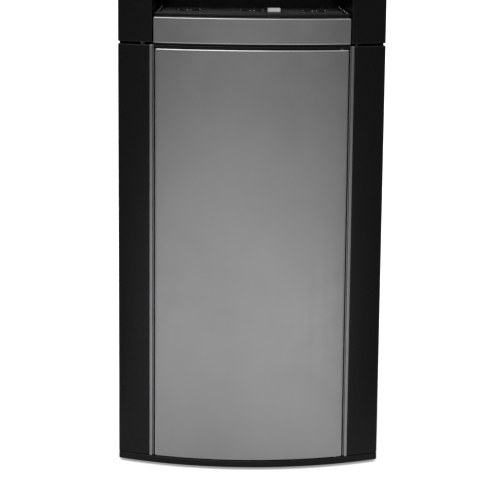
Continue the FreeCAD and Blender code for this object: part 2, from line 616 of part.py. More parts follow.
def condenser():
    """Wire-on-tube heat exchanger on the back: one serpentine tube and a rack of wires."""
    half = size_of("condenser_half")
    pitch = size_of("condenser_pitch")
    low = size_of("condenser_bottom")
    y = size_of("condenser_y")
    points = [(half - 10, y, low - pitch / 2)]
    side = -1
    for row in range(CONDENSER_ROWS):
        z = low + (row - 0.5) * pitch
        points.append((side * half, y, z))
        points.append((side * half, y, z + pitch))
        side = -side
    points.append((0, y, low + (CONDENSER_ROWS - 0.5) * pitch))
    part(bent_tube("condenser_tube", points, size_of("condenser_tube"), 8))
    wire_y = "condenser_y + condenser_tube + wire_radius + 0.05"
    top = f"condenser_bottom + {CONDENSER_ROWS} * condenser_pitch"
    wires = []
    for i in range(CONDENSER_WIRES):
        wires.append(post(f"wire_{i}", "wire_radius", ("condenser_bottom - 30", top),
                          f"{i - CONDENSER_WIRES // 2} * wire_pitch", wire_y))
    for word, z in (("low", "condenser_bottom - 24"), ("high", f"{top} - 6")):
        wires.append(box(f"wire_tie_{word}", ("-condenser_half + 4", "condenser_half - 4"),
                         (wire_y, wire_y + " + 2"), (z, z + " + 2")))
    part(fuse("condenser_wires", *wires))
    spacers = []
    for word, x in (("left", LEFT), ("right", RIGHT)):
        spacers.append(box(f"{word}_wall_spacer", handed(x, "condenser_half + 8", "condenser_half + 20"),
                           ("panel_back", "body_depth / 2"),
                           ("condenser_bottom + 480", "condenser_bottom + 520")))
    part(fuse("wall_spacers", *spacers))


def service_fittings():
    """Power inlet, switch plate with two rockers, thermostat knob and drain cap on the back."""
    shroud = box("inlet_shroud", ("inlet_x - 17", "inlet_x + 17"), ("panel_back", "panel_back + 4"),
                 ("service_z - 49", "service_z - 23"))
    barrel = box("inlet_barrel", ("inlet_x - 13.5", "inlet_x + 13.5"), ("panel_back - 16", "panel_back + 1"),
                 ("service_z - 45.5", "service_z - 26.5"))
    socket = box("inlet_socket", ("inlet_x - 11", "inlet_x + 11"), ("panel_back - 12", "panel_back + 5"),
                 ("service_z - 43", "service_z - 29"))
    blades = [box(f"inlet_blade_{i}", (f"inlet_x + {x} - 0.8", f"inlet_x + {x} + 0.8"),
                  ("panel_back - 13", "panel_back - 1"),
                  (f"service_z - 36 + {z} - 2", f"service_z - 36 + {z} + 2"))
              for i, (x, z) in enumerate(((-6.5, -1.5), (0, 2), (6.5, -1.5)))]
    part(fuse("power_inlet", cut("inlet_body", fuse("inlet_solid", shroud, barrel), socket), *blades))

    frame_outer = box("switch_frame", ("inlet_x - 23", "inlet_x + 23"), ("panel_back", "panel_back + 3"),
                      ("service_z - 6", "service_z + 24"))
    frame_barrel = box("switch_barrel", ("inlet_x - 19.5", "inlet_x + 19.5"),
                       ("panel_back - 14", "panel_back + 1"), ("service_z - 2.5", "service_z + 20.5"))
    windows = [box(f"switch_window_{i}", (x, x + " + 16"), ("panel_back - 12", "panel_back + 4"),
                   ("service_z - 0.5", "service_z + 18.5"))
               for i, x in enumerate(("inlet_x - 18", "inlet_x + 2"))]
    part(cut("switch_frame_plate", fuse("switch_solid", frame_outer, frame_barrel), *windows))
    for word, x in (("heat", "inlet_x - 10"), ("cool", "inlet_x + 10")):
        dished = [("-4", "-8.2"), ("9", "-8.2"), ("7.2", "0"), ("9", "8.2"), ("-4", "8.2")]
        rocker = outline_body(f"{word}_rocker", dished, "YZ_Plane", "Pad", Length="15.2")
        rocker.Placement = FreeCAD.Placement(Vector(), Rotation(Vector(1, 0, 0), -6))
        part(place(rocker, x + " - 7.6", "panel_back - 4.5", "fitting_z"))

    stem = rod("knob_stem", "3.9", ("panel_back - 8", "panel_back + 4"), "knob_x", "fitting_z")
    dial = rod("knob_dial", "13", ("panel_back + 1", "panel_back + 12"), "knob_x", "fitting_z")
    grip = box("knob_grip", ("knob_x - 2", "knob_x + 2"), ("panel_back + 10", "panel_back + 16"),
               ("service_z - 3", "service_z + 21"))
    part(fuse("thermostat_knob", stem, dial, grip))
    spout = rod("drain_spout_rod", "8.6", ("panel_back - 20", "panel_back + 8"), "0", "fitting_z")
    flange = rod("drain_spout_flange", "13", ("panel_back", "panel_back + 2"), "0", "fitting_z")
    bore = rod("drain_spout_bore", "6", ("panel_back - 21", "panel_back + 9"), "0", "fitting_z")
    part(cut("drain_spout", fuse("drain_spout_solid", spout, flange), bore))
    cap = rod("drain_cap_rod", "12", ("panel_back + 2.4", "panel_back + 15"), "0", "fitting_z")
    inside = rod("drain_cap_inside", "8.7", ("panel_back + 1", "panel_back + 9"), "0", "fitting_z")
    flats = [box(f"drain_cap_flat_{i}", (x, x + " + 6"), ("panel_back + 8", "panel_back + 16"),
                 ("service_z - 6", "service_z + 24")) for i, x in enumerate(("-15", "9"))]
    part(cut("drain_cap", cap, inside, *flats))


def piping():
    """Silicone water tubes and copper lines inside the machine."""
    port_y = size_of("tap_y") + size_of("valve_radius") + 6.2
    port_z = size_of("ceiling") + 28
    pitch = size_of("tap_pitch")
    hot_x = size_of("hot_x")
    hot_y = size_of("hot_y")
    hot_top = size_of("hot_bottom") + size_of("hot_height")
    side_x = pitch + 32
    part(bent_tube("hot_outlet_tube",
                   [(-pitch, port_y, port_z), (-pitch, port_y + 14, port_z), (-side_x, port_y + 14, port_z),
                    (-side_x, hot_y, port_z), (-side_x, hot_y, hot_top + 18), (hot_x, hot_y, hot_top + 18),
                    (hot_x, hot_y, hot_top + 0.2)], 3.5, 6))
    part(bent_tube("cold_outlet_tube",
                   [(pitch, port_y, port_z), (pitch, port_y + 14, port_z), (side_x, port_y + 14, port_z),
                    (side_x, hot_y, port_z), (side_x, hot_y, port_z - 60), (10, hot_y, port_z - 60),
                    (10, hot_y, size_of("tank_bottom") - 10.2)], 3.5, 6))
    part(bent_tube("discharge_line",
                   [(size_of("compressor_x"), size_of("compressor_y"), 163.5),
                    (size_of("compressor_x"), size_of("compressor_y"), 190),
                    (size_of("condenser_half") - 8, size_of("compressor_y"), 190),
                    (size_of("condenser_half") - 8, size_of("compressor_y"), 300),
                    (size_of("condenser_half") - 8, size_of("panel_back") - 2, 300)], 2.5, 8))


base_tray()
feet()
side_panels()
pillars()
back_panel()
mid_deck()
cabinet_liner()
door_trims()
door()
catch()
drip_tray()
drip_grille()
tray_float()
alcove_shell()
head_deck()
head_fascia()
controls()
taps()
top_cover()
bottle_collar()
cold_side()
hot_side()
compressor()
condenser()
service_fittings()
piping()
doc.recompute()

failed = [item.Label for item in doc.Objects if {"Invalid", "Error"} & set(item.State)]
if failed:
    raise RuntimeError("these objects did not compute: " + ", ".join(failed))
for shape in parts:
    if shape.Shape.isNull() or not shape.Shape.isValid() or shape.Shape.Volume <= 0:
        raise RuntimeError(shape.Label + " has no valid shape")
for shape in parts:
    shape.Shape.exportStep(f"parts/{shape.Label}.step")
whole = Part.makeCompound([shape.Shape for shape in parts]).optimalBoundingBox(False)
print(len(parts), "sub-parts", whole)
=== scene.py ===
import json
import math

import bpy
import numpy as np
from mathutils import Matrix, Vector


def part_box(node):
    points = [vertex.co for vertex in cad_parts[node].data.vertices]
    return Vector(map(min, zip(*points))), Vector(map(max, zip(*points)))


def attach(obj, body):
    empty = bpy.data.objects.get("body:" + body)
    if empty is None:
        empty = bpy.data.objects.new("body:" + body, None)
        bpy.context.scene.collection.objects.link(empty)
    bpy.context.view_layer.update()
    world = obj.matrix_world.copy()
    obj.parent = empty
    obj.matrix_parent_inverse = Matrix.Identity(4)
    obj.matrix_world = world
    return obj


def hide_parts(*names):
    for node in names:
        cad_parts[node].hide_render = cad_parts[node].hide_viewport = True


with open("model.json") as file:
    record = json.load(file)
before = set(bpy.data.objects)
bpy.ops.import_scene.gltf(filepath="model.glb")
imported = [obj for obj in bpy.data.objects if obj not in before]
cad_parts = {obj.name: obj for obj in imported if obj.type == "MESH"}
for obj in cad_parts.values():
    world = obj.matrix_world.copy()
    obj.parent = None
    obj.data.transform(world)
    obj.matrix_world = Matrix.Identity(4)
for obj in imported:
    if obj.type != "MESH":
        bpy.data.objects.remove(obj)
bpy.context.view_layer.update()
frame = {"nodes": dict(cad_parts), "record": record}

# A floor-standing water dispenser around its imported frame: metres, front towards -Y, +Z up.

BODY_OF = {node: body for body, nodes in frame["record"]["behaviour"]["bodies"].items() for node in nodes}
SLOT_OF = {row["node"]: row["material_slot"] for row in frame["record"]["subparts"]}

pillar_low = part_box("lower_right_pillar")[0]
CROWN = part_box("base_tray")[0].y  # front-most point of the bow
RISE = pillar_low.y - CROWN  # how far the bow has fallen back at the pillar
BOW = (pillar_low.x ** 2 + RISE ** 2) / (2 * RISE)  # radius of the bow in plan
GUARD = 0.0003  # flat run kept beside every rounded edge
UNWORN = 0.004  # rows inset further than this show no corner wear
PANEL = 0.0015  # thickness of the folded sheet
MOULDING = 0.002  # wall of the tray and the recess
GRILLE_RIM = 0.009  # width of the grille's frame
GRILLE_CORNER = 0.0185  # radius of its rear corners
BUTTON = 0.016  # radius of a push button
BEZEL = 0.0022  # width of the ring round it
KNOB_ROUND = 0.0006  # softened edges of the knob and the cap
SWITCH_HEIGHT = 0.259  # height of the rockers' pivots


# ---- surfaces

def bow_y(x, inset=0.0):
    """Depth of the bowed front at x: the centre's y less the leg of a right triangle on the radius."""
    return CROWN + BOW - np.sqrt((BOW - inset) ** 2 - np.asarray(x, float) ** 2)


def soften(corners, radii, steps=6, closed=True):
    """An outline whose corners become tangent arcs: each arc turns its start spoke into its end spoke.

    Returns the points and a wear number, sin(pi t) along each arc and 0 on the straights."""
    spots = np.asarray(corners, float)
    count = len(spots)
    radii = np.broadcast_to(radii, count)
    rows, wear = [], []
    for i in range(count):
        spot = spots[i]
        before = spots[i - 1] - spot
        after = spots[(i + 1) % count] - spot
        long_before, long_after = np.linalg.norm(before), np.linalg.norm(after)
        before, after = before / long_before, after / long_after
        turn = math.pi - math.acos(float(np.clip(before @ after, -1, 1)))
        if radii[i] <= 0 or turn < 0.05 or (not closed and i in (0, count - 1)):
            rows.append(spot[None])
            wear.append(np.zeros(1))
            continue
        reach = min(radii[i] * math.tan(turn / 2), 0.42 * long_before, 0.42 * long_after)
        radius = reach / math.tan(turn / 2)
        inward = (before + after) / np.linalg.norm(before + after)
        centre = spot + inward * radius / math.cos(turn / 2)
        t = np.linspace(0, 1, steps + 1)[:, None]
        first, last = spot + before * reach - centre, spot + after * reach - centre
        arc = (np.sin((1 - t) * turn) * first + np.sin(t * turn) * last) / math.sin(turn) + centre
        guard = min(GUARD, reach * 0.15)
        rows.append(np.vstack([arc[:1] + before * guard, arc, arc[-1:] + after * guard]))
        wear.append(np.concatenate([[0], np.sin(math.pi * t[:, 0]), [0]]))
    return np.vstack(rows), np.concatenate(wear)


def inset_outline(outline, inset):
    """The outline moved inwards along its mitred normals."""
    ahead = np.roll(outline, -1, axis=0) - outline
    ahead /= np.linalg.norm(ahead, axis=1)[:, None]
    normal = np.stack([-ahead[:, 1], ahead[:, 0]], axis=1)
    mitre = normal + np.roll(normal, 1, axis=0)
    mitre /= np.linalg.norm(mitre, axis=1)[:, None]
    reach = 1 / np.maximum(0.3, np.sum(mitre * normal, axis=1))
    return outline + mitre * (inset * reach)[:, None]


def raised(outline, height):
    """The points of a plan outline, at a height."""
    return np.column_stack([outline, np.full(len(outline), height)])


def rectangle(u0, v0, u1, v1):
    """The corners of a rectangle, anticlockwise."""
    return [(u0, v0), (u1, v0), (u1, v1), (u0, v1)]


def around(x, z, half_x, half_z, y0, y1):
    """Two corners of a box whose middle, seen from the front, is at x and z."""
    return (x - half_x, y0, z - half_z), (x + half_x, y1, z + half_z)


def middle(node):
    """The centre of a node's box."""
    return [0.5 * (a + b) for a, b in zip(*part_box(node))]


def refined(outline, wear, step):
    """The outline with extra points along every side longer than a step."""
    rows, marks = [], []
    for spot, after, worn in zip(outline, np.roll(outline, -1, axis=0), wear):
        count = max(1, math.ceil(np.linalg.norm(after - spot) / step))
        share = np.arange(count)[:, None] / count
        rows.append(spot + (after - spot) * share)
        marks.append(np.where(share[:, 0] == 0, worn, 0.0))
    return np.vstack(rows), np.concatenate(marks)


def grid_faces(rows, columns, ring=False):
    """Quads between the rows of a grid closed around its columns, and end caps unless it is a ring."""
    r = np.arange(rows if ring else rows - 1)[:, None]
    c = np.arange(columns)[None, :]
    right, up = (c + 1) % columns, (r + 1) % rows
    quads = np.stack([r * columns + c, r * columns + right, up * columns + right, up * columns + c], axis=-1)
    faces = quads.reshape(-1, 4).tolist()
    if not ring:
        faces.append(list(range(columns))[::-1])
        faces.append(list(range((rows - 1) * columns, rows * columns)))
    return faces


def volume(points, faces):
    """Signed volume of a closed shell, from fans of triangles."""
    total = 0.0
    for size in {len(face) for face in faces}:
        index = np.array([face for face in faces if len(face) == size])
        first = points[index[:, 0]]
        for k in range(1, size - 1):
            total += np.einsum("ij,ij->", first, np.cross(points[index[:, k]], points[index[:, k + 1]])) / 6
    return total


def shell(points, faces, wear):
    """A closed shell turned the right way out."""
    points = np.asarray(points, float)
    if volume(points - points.mean(axis=0), faces) < 0:
        faces = [face[::-1] for face in faces]
    return points, faces, np.asarray(wear, float)


def stacked(outline, wear, rows):
    """Copies of a plan outline, each inset and lifted by its row, joined into a shell with flat ends.

    A row is (inset, height, wear)."""
    layers = [raised(inset_outline(outline, inset), height) for inset, height, _ in rows]
    marks = [np.maximum(wear * (inset <= UNWORN), mark) for inset, _, mark in rows]
    return shell(np.vstack(layers), grid_faces(len(rows), len(outline)), np.concatenate(marks))


def between(rows):
    """A ring of rows (outline, inset, height, wear); their outlines may differ, and the ends meet."""
    layers = [raised(inset_outline(outline, inset), height) for outline, inset, height, _ in rows]
    marks = [np.full(len(outline), mark) for outline, _, _, mark in rows]
    return shell(np.vstack(layers), grid_faces(len(rows), len(layers[0]), True), np.concatenate(marks))


def rounded_rows(low, high, edge, steps=4):
    """Rows of a block whose top and bottom edges are quarter circles."""
    a = np.linspace(0, math.pi / 2, steps + 1)
    guard = min(GUARD, edge * 0.2)
    inset, climb, worn = edge * (1 - np.sin(a)), edge * (1 - np.cos(a)), np.sin(2 * a)
    bottom = [(edge + guard, low, 0.0), *zip(inset, low + climb, worn), (0.0, low + edge + guard, 0.0)]
    top = [(row[0], low + high - row[1], row[2]) for row in bottom[::-1]]
    return bottom + top


def bowed_plan(x0, x1, back, inset=0.0, front_radius=0.002, back_radius=0.002, count=12):
    """Plan outline: the bowed front from x0 to x1, straight sides and a straight back."""
    x = np.linspace(x0, x1, count)
    front = np.column_stack([x, bow_y(x, inset)])
    corners = np.vstack([front, [[x1, back], [x0, back]]])
    radii = np.zeros(count + 2)
    radii[[0, count - 1]] = front_radius
    radii[count:] = back_radius
    return soften(corners, radii)


def bowed_block(x0, x1, back, low, high, edge=0.0015, **plan):
    """A block with a bowed front and every edge rounded."""
    outline, wear = bowed_plan(x0, x1, back, **plan)
    return stacked(outline, wear, rounded_rows(low, high, edge))


def block(low, high, radius=0.001, edge=None, steps=5):
    """A rectangular block, upright edges rounded by radius and the others by edge."""
    outline, wear = soften(rectangle(low[0], low[1], high[0], high[1]), radius, steps)
    return stacked(outline, wear, rounded_rows(low[2], high[2], radius * 0.8 if edge is None else edge))


def turned(profile, centre, segments=72, ring=False, radius=0.0, axis="z", steps=4):
    """A profile of (radius, height) points, corners softened, turned about an axis through the centre."""
    line, wear = soften(profile, radius, steps, closed=ring)
    angle = np.linspace(0, 2 * math.pi, segments, endpoint=False)
    r, h = line[:, 0][:, None], line[:, 1][:, None]
    across, along, lift = r * np.cos(angle), r * np.sin(angle), h + 0 * angle
    order = {"z": (across, along, lift), "y": (across, lift, along), "x": (lift, across, along)}[axis]
    points = np.stack(order, axis=-1).reshape(-1, 3) + np.asarray(centre, float)
    return shell(points, grid_faces(len(line), segments, ring), np.repeat(wear, segments))


def tube(path, radius, sides=12):
    """A round tube: circles carried along a path, each turned onto the last one's frame."""
    path = np.asarray(path, float)
    ahead = np.gradient(path, axis=0)
    ahead /= np.linalg.norm(ahead, axis=1)[:, None]
    side = np.cross(ahead[0], [0, 0, 1.0] if abs(ahead[0][2]) < 0.9 else [1.0, 0, 0])
    sides_list = []
    for direction in ahead:
        side = side - direction * (side @ direction)
        side /= np.linalg.norm(side)
        sides_list.append(side)
    first = np.array(sides_list)
    second = np.cross(ahead, first)
    angle = np.linspace(0, 2 * math.pi, sides, endpoint=False)
    rings = (path[:, None] + radius * (np.cos(angle)[None, :, None] * first[:, None]
                                       + np.sin(angle)[None, :, None] * second[:, None]))
    return shell(rings.reshape(-1, 3), grid_faces(len(path), sides), np.zeros(len(path) * sides))


def rod(start, end, radius):
    """A straight tube."""
    start, end = np.asarray(start, float), np.asarray(end, float)
    return tube([start, 0.5 * (start + end), end], radius, 8)


def rounded_path(points, radius, steps=8):
    """Straight runs with tangent arcs at the bends, in space."""
    return soften(points, radius, steps, closed=False)[0]


def linked(name, points, faces, wear):
    """An object with a wear attribute, in the scene."""
    mesh = bpy.data.meshes.new(name)
    mesh.from_pydata(points.tolist(), [], faces)
    mesh.attributes.new("wear", "FLOAT", "POINT").data.foreach_set("value", wear)
    thing = bpy.data.objects.new(name, mesh)
    bpy.context.scene.collection.objects.link(thing)
    return thing


def piece(name, shells, material, body, replaced=(), sharp=38):
    """Joins shells into one object and puts it on its body."""
    start, faces = 0, []
    for spots, loops, _ in shells:
        faces += [[start + i for i in loop] for loop in loops]
        start += len(spots)
    points = np.vstack([spots for spots, _, _ in shells])
    thing = linked(name, points, faces, np.concatenate([wear for _, _, wear in shells]))
    thing.data.shade_smooth()
    thing.data.set_sharp_from_angle(angle=math.radians(sharp))
    thing.data.materials.append(material)
    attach(thing, body)
    if replaced:
        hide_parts(*replaced)


def pierced(solid, *cutters):
    """A shell less the volumes of others."""
    things = [linked("blank", *each) for each in (solid, *cutters)]
    for cutter in things[1:]:
        hole = things[0].modifiers.new("hole", "BOOLEAN")
        hole.operation, hole.object, hole.solver = "DIFFERENCE", cutter, "EXACT"
    solved = things[0].evaluated_get(bpy.context.evaluated_depsgraph_get())
    mesh = solved.to_mesh()
    points = np.empty(len(mesh.vertices) * 3)
    mesh.vertices.foreach_get("co", points)
    faces = [list(face.vertices) for face in mesh.polygons]
    wear = np.zeros(len(mesh.vertices))
    if "wear" in mesh.attributes:
        mesh.attributes["wear"].data.foreach_get("value", wear)
    solved.to_mesh_clear()
    for thing in things:
        bpy.data.meshes.remove(thing.data)
    return points.reshape(-1, 3), faces, wear


def facing(axis, solid):
    """A shell built upwards, laid over so that its height runs along y or x."""
    points, faces, wear = solid
    order = {"y": [0, 2, 1], "x": [2, 0, 1]}[axis]
    return shell(points[:, order], faces, wear)


def tablet(low, high, radius=0.001, edge=0.0004):
    """A block whose outline corners, seen from the front, have a larger radius than its edges."""
    outline, wear = soften(rectangle(low[0], low[2], high[0], high[2]), radius, 8)
    return facing("y", stacked(outline, wear, rounded_rows(low[1], high[1], edge)))


def frame_ring(low, high, width, radius=0.003, edge=0.0008):
    """A rectangular ring facing along y, with a rounded outer face at its high end."""
    outer = soften(rectangle(low[0], low[2], high[0], high[2]), radius, 8)[0]
    inner = soften(rectangle(low[0] + width, low[2] + width, high[0] - width, high[2] - width),
                   max(0.0006, radius - width), 8)[0]
    base, top = low[1], high[1]
    return facing("y", between([
        (outer, 0.0, base, 0.0), (outer, 0.0, top - edge, 0.0), (outer, edge * 0.3, top - edge * 0.3, 1.0),
        (outer, edge, top, 0.3), (inner, -edge, top, 0.3), (inner, -edge * 0.3, top - edge * 0.3, 1.0),
        (inner, 0.0, top - edge, 0.0), (inner, 0.0, base, 0.0)]))


def on_bow(solid):
    """A shell built around y = 0, moved back to follow the bow."""
    points, faces, wear = solid
    points[:, 1] += bow_y(points[:, 0])
    return points, faces, wear


def fluted(profile, x, z, beyond, depth, count):
    """A turned grip; past a radius r it shrinks to r (1 - depth (1 + cos(count angle)))."""
    points, faces, wear = turned(profile, (0, 0, 0), 144, radius=KNOB_ROUND, axis="y")
    angle = np.arctan2(points[:, 2], points[:, 0])
    far = np.hypot(points[:, 0], points[:, 2])
    flute = np.where(far > beyond, 1 - depth * (1 + np.cos(count * angle)), 1.0)
    points[:, 0] = points[:, 0] * flute + x
    points[:, 2] = points[:, 2] * flute + z
    return points, faces, wear


def leaned(solid, angle, x, y, z):
    """A shell turned about the x axis, then moved."""
    points, faces, wear = solid
    back, up = points[:, 1], points[:, 2]
    turned_back = back * math.cos(angle) - up * math.sin(angle)
    turned_up = back * math.sin(angle) + up * math.cos(angle)
    return np.column_stack([points[:, 0] + x, turned_back + y, turned_up + z]), faces, wear


def stand_for(node, shells, material, sharp=38):
    """A detailed piece in the place of one CAD node."""
    piece(node + "_detail", shells, material, BODY_OF[node], (node,), sharp)


def bowed_node(node, material, edge, **plan):
    """A bowed block the size of a CAD node, in its place."""
    low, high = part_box(node)
    stand_for(node, [bowed_block(low.x, high.x, high.y, low.z, high.z, edge, **plan)], material)


# ---- materials

class Socket:
    """A number or colour inside a shader. Arithmetic on it adds Math nodes."""

    def __init__(self, finish, link):
        self.finish = finish
        self.link = link

    def math(self, operation, first, second):
        return self.finish.add("ShaderNodeMath", {"operation": operation}, {0: first, 1: second})

    def __add__(self, other):
        return self.math("ADD", self, other)

    def __radd__(self, other):
        return self.math("ADD", other, self)

    def __sub__(self, other):
        return self.math("SUBTRACT", self, other)

    def __rsub__(self, other):
        return self.math("SUBTRACT", other, self)

    def __mul__(self, other):
        return self.math("MULTIPLY", self, other)

    def __rmul__(self, other):
        return self.math("MULTIPLY", other, self)

    def __pow__(self, other):
        return self.math("POWER", self, other)

    def __rpow__(self, other):
        return self.math("POWER", other, self)


class Nodes:
    """A node tree, with short ways to add to it."""

    def __init__(self, tree):
        self.tree = tree

    def feed(self, socket, value):
        if isinstance(value, Socket):
            self.tree.links.new(value.link, socket)
        elif isinstance(value, (tuple, list)) and len(value) == 3 and socket.type == "RGBA":
            socket.default_value = (*value, 1.0)
        else:
            socket.default_value = value

    def add(self, kind, settings, inputs, output=0):
        """Any node: its settings first, then its sockets, and one of its outputs."""
        node = self.tree.nodes.new(kind)
        for key, value in settings.items():
            setattr(node, key, value)
        for key, value in inputs.items():
            self.feed(node.inputs[key], value)
        return Socket(self, node.outputs[output])

    def spot(self, stretch=(1, 1, 1)):
        """Object coordinates, stretched."""
        here = self.add("ShaderNodeTexCoord", {}, {}, "Object")
        return self.add("ShaderNodeVectorMath", {"operation": "MULTIPLY"}, {0: here, 1: stretch})

    def noise(self, scale, stretch=(1, 1, 1), detail=2.0, rough=0.5):
        """Fractal noise from 0 to 1."""
        return self.add("ShaderNodeTexNoise", {}, {"Vector": self.spot(stretch), "Scale": scale,
                                                  "Detail": detail, "Roughness": rough})

    def ramp(self, value, start, stop):
        """0 up to start, 1 from stop, straight between."""
        shade = self.add("ShaderNodeValToRGB", {}, {0: value})
        for element, place in zip(shade.link.node.color_ramp.elements, (start, stop)):
            element.position = place
        return shade

    def smooth(self, value, start, stop):
        """0 up to start, 1 from stop, and a smoothstep between."""
        return self.add("ShaderNodeMapRange", {"interpolation_type": "SMOOTHSTEP"},
                        {0: value, 1: start, 2: stop})

    def along(self, place, axis):
        """One coordinate of a place."""
        return self.add("ShaderNodeSeparateXYZ", {}, {0: place}, axis)

    def blend(self, first, second, share):
        """A colour between two colours."""
        return self.add("ShaderNodeMix", {"data_type": "RGBA"}, {0: share, 6: first, 7: second}, 2)

    def seen(self):
        """1 for what the eye sees directly, 0 for what only lights the machine."""
        return self.add("ShaderNodeLightPath", {}, {}, "Is Camera Ray")


class Finish(Nodes):
    """One material and its shader nodes."""

    def __init__(self, name):
        self.material = bpy.data.materials.new(name)
        self.material.use_nodes = True
        super().__init__(self.material.node_tree)
        self.shader = self.tree.nodes["Principled BSDF"]

    def bump(self, height, strength, distance):
        return self.add("ShaderNodeBump", {}, {"Height": height, "Strength": strength, "Distance": distance})

    def worn(self):
        """The wear attribute of the rounded edges."""
        return self.add("ShaderNodeAttribute", {"attribute_name": "wear"}, {}, "Fac")

    def done(self, **values):
        for key, value in values.items():
            self.feed(self.shader.inputs[key.replace("_", " ")], value)
        return self.material


def toned(tone, gain=1.0, lift=0.0):
    """A colour made stronger and lifted."""
    return tuple(channel * gain + lift for channel in tone)


def satin_steel(name, tone=(0.40, 0.40, 0.405), rough=0.30):
    """Satin sheet: long vertical grain in the bump, faint cloudy handling marks, brighter edges."""
    f = Finish(name)
    grain = f.noise(260, (1, 1, 0.015), 3.0, 0.6)
    cloud = f.noise(7, (1, 1, 0.8), 3.0, 0.55)
    smudge = f.ramp(f.noise(26, (1, 1, 1.4), 4.0, 0.6), 0.45, 0.75)
    edge = f.worn()
    light = tuple(min(1, channel) for channel in toned(tone, 1.9))
    body = f.blend(toned(tone, 0.90), tone, f.ramp(cloud, 0.3, 0.7))
    colour = f.blend(body, light, edge * 0.55)
    gloss = rough + grain * 0.07 + smudge * 0.05 - edge * 0.06
    return f.done(Base_Color=colour, Metallic=1.0, Roughness=gloss,
                  Normal=f.bump(grain + cloud * 0.5, 0.16, 0.0002))


def moulded(name, tone, rough, grain_scale=900, grain_depth=0.00004, wear_tone=None, coat=0.0, dust=0.02,
            level=0.5):
    """Moulded plastic: spark-eroded grain, soft flow variation, dust that dulls it and rubbed edges."""
    f = Finish(name)
    grain = f.noise(grain_scale, (1, 1, 1), 2.0, 0.6)
    flow = f.noise(11, (1, 1, 0.5), 3.0, 0.5)
    specks = f.ramp(f.noise(330, (1, 1, 1), 1.0, 0.4), 0.70, 0.78)
    edge = f.worn()
    light = wear_tone or toned(tone, 1.8, 0.01)
    varied = f.blend(tone, toned(tone, 1.25, 0.001), flow)
    dusty = f.blend(varied, toned(tone, lift=0.05), specks * dust)
    colour = f.blend(dusty, light, edge * 0.5)
    gloss = rough + flow * 0.06 + specks * 0.08 - edge * 0.04
    return f.done(Base_Color=colour, Roughness=gloss, Coat_Weight=coat, Specular_IOR_Level=level,
                  Normal=f.bump(grain + flow * 2.0, 0.35, grain_depth))


def powder_coat(name, tone):
    """Powder-coated sheet: orange-peel dimples and slight sheen changes."""
    f = Finish(name)
    peel = f.noise(420, (1, 1, 1), 1.0, 0.4)
    flow = f.noise(6, (1, 1, 0.6), 3.0, 0.5)
    edge = f.worn()
    colour = f.blend(f.blend(tone, toned(tone, 1.4, 0.002), flow), (0.16, 0.16, 0.16), edge * 0.35)
    return f.done(Base_Color=colour, Roughness=0.38 + flow * 0.1, Normal=f.bump(peel, 0.4, 0.00012))


def rubbery(name, tone):
    """Matt rubber with a chalky bloom."""
    f = Finish(name)
    bloom = f.noise(60, (1, 1, 1), 4.0, 0.6)
    return f.done(Base_Color=f.blend(tone, toned(tone, lift=0.05), bloom),
                  Roughness=0.72 + bloom * 0.15, Normal=f.bump(f.noise(700), 0.3, 0.00008))


def drawn_metal(name, tone, rough):
    """Drawn or spun metal with fine bands and slight tarnish."""
    f = Finish(name)
    bands = f.noise(500, (0.05, 0.05, 1), 2.0, 0.5)
    tarnish = f.noise(24, (1, 1, 1), 4.0, 0.6)
    return f.done(Base_Color=f.blend(tone, toned(tone, 0.62), tarnish * 0.6),
                  Metallic=1.0, Roughness=rough + tarnish * 0.16, Normal=f.bump(bands, 0.2, 0.00008))


def bead_foam(name):
    """Expanded foam: pressed beads with dark seams between them."""
    f = Finish(name)
    cells = f.add("ShaderNodeTexVoronoi", {"feature": "DISTANCE_TO_EDGE"},
                  {"Vector": f.spot(), "Scale": 260.0})
    seam = f.ramp(cells, 0.0, 0.12)
    return f.done(Base_Color=f.blend((0.60, 0.60, 0.57), (0.86, 0.86, 0.83), seam), Roughness=0.85,
                  Normal=f.bump(seam, 0.5, 0.0005))


def circuit_board(name):
    """Green solder mask with copper traces under it."""
    f = Finish(name)
    traces = f.add("ShaderNodeTexBrick", {}, {"Vector": f.spot(), "Scale": 90.0, "Mortar Size": 0.03,
                                               "Color1": (0.0, 0.0, 0.0), "Color2": (0.0, 0.0, 0.0),
                                               "Mortar": (1.0, 1.0, 1.0)})
    return f.done(Base_Color=f.blend((0.01, 0.12, 0.04), (0.04, 0.28, 0.1), traces),
                  Roughness=0.4, Normal=f.bump(traces, 0.3, 0.0001))


def lens(name, tone):
    """Small lamp window with a frosted middle."""
    f = Finish(name)
    frost = f.noise(900)
    return f.done(Base_Color=f.blend(tone, toned(tone, 0.7), frost),
                  Roughness=0.18 + frost * 0.1, Coat_Weight=0.6)


STEEL = satin_steel("satin_door_steel", (0.395, 0.395, 0.40))
TRIM = satin_steel("satin_trim_strip", (0.36, 0.36, 0.365), 0.28)
STUD = satin_steel("polished_stud", (0.80, 0.80, 0.80), 0.12)
BLACK = moulded("black_cabinet_plastic", (0.0042, 0.0042, 0.0045), 0.22, dust=0.01, level=0.21)
BLACK_TRAY = moulded("black_tray_plastic", (0.006, 0.006, 0.0063), 0.20, 1200, dust=0.01, level=0.35)
DARK_GLOSS = moulded("black_button_plastic", (0.012, 0.012, 0.013), 0.14, 1600, 0.00001, coat=0.5)
LIGHT = moulded("light_grey_liner_plastic", (0.62, 0.62, 0.61), 0.42, 700, 0.00005, (0.7, 0.7, 0.69))
WHITE = moulded("white_float_plastic", (0.86, 0.86, 0.85), 0.3, 900, 0.00002, (0.9, 0.9, 0.9), dust=0.01)
SHEET = powder_coat("black_powder_coat", (0.012, 0.012, 0.0125))
RUBBER = rubbery("black_rubber", (0.018, 0.018, 0.018))
STAINLESS = drawn_metal("drawn_stainless", (0.58, 0.58, 0.59), 0.22)
COPPER = drawn_metal("drawn_copper", (0.72, 0.36, 0.2), 0.24)
FOAM = bead_foam("expanded_foam")
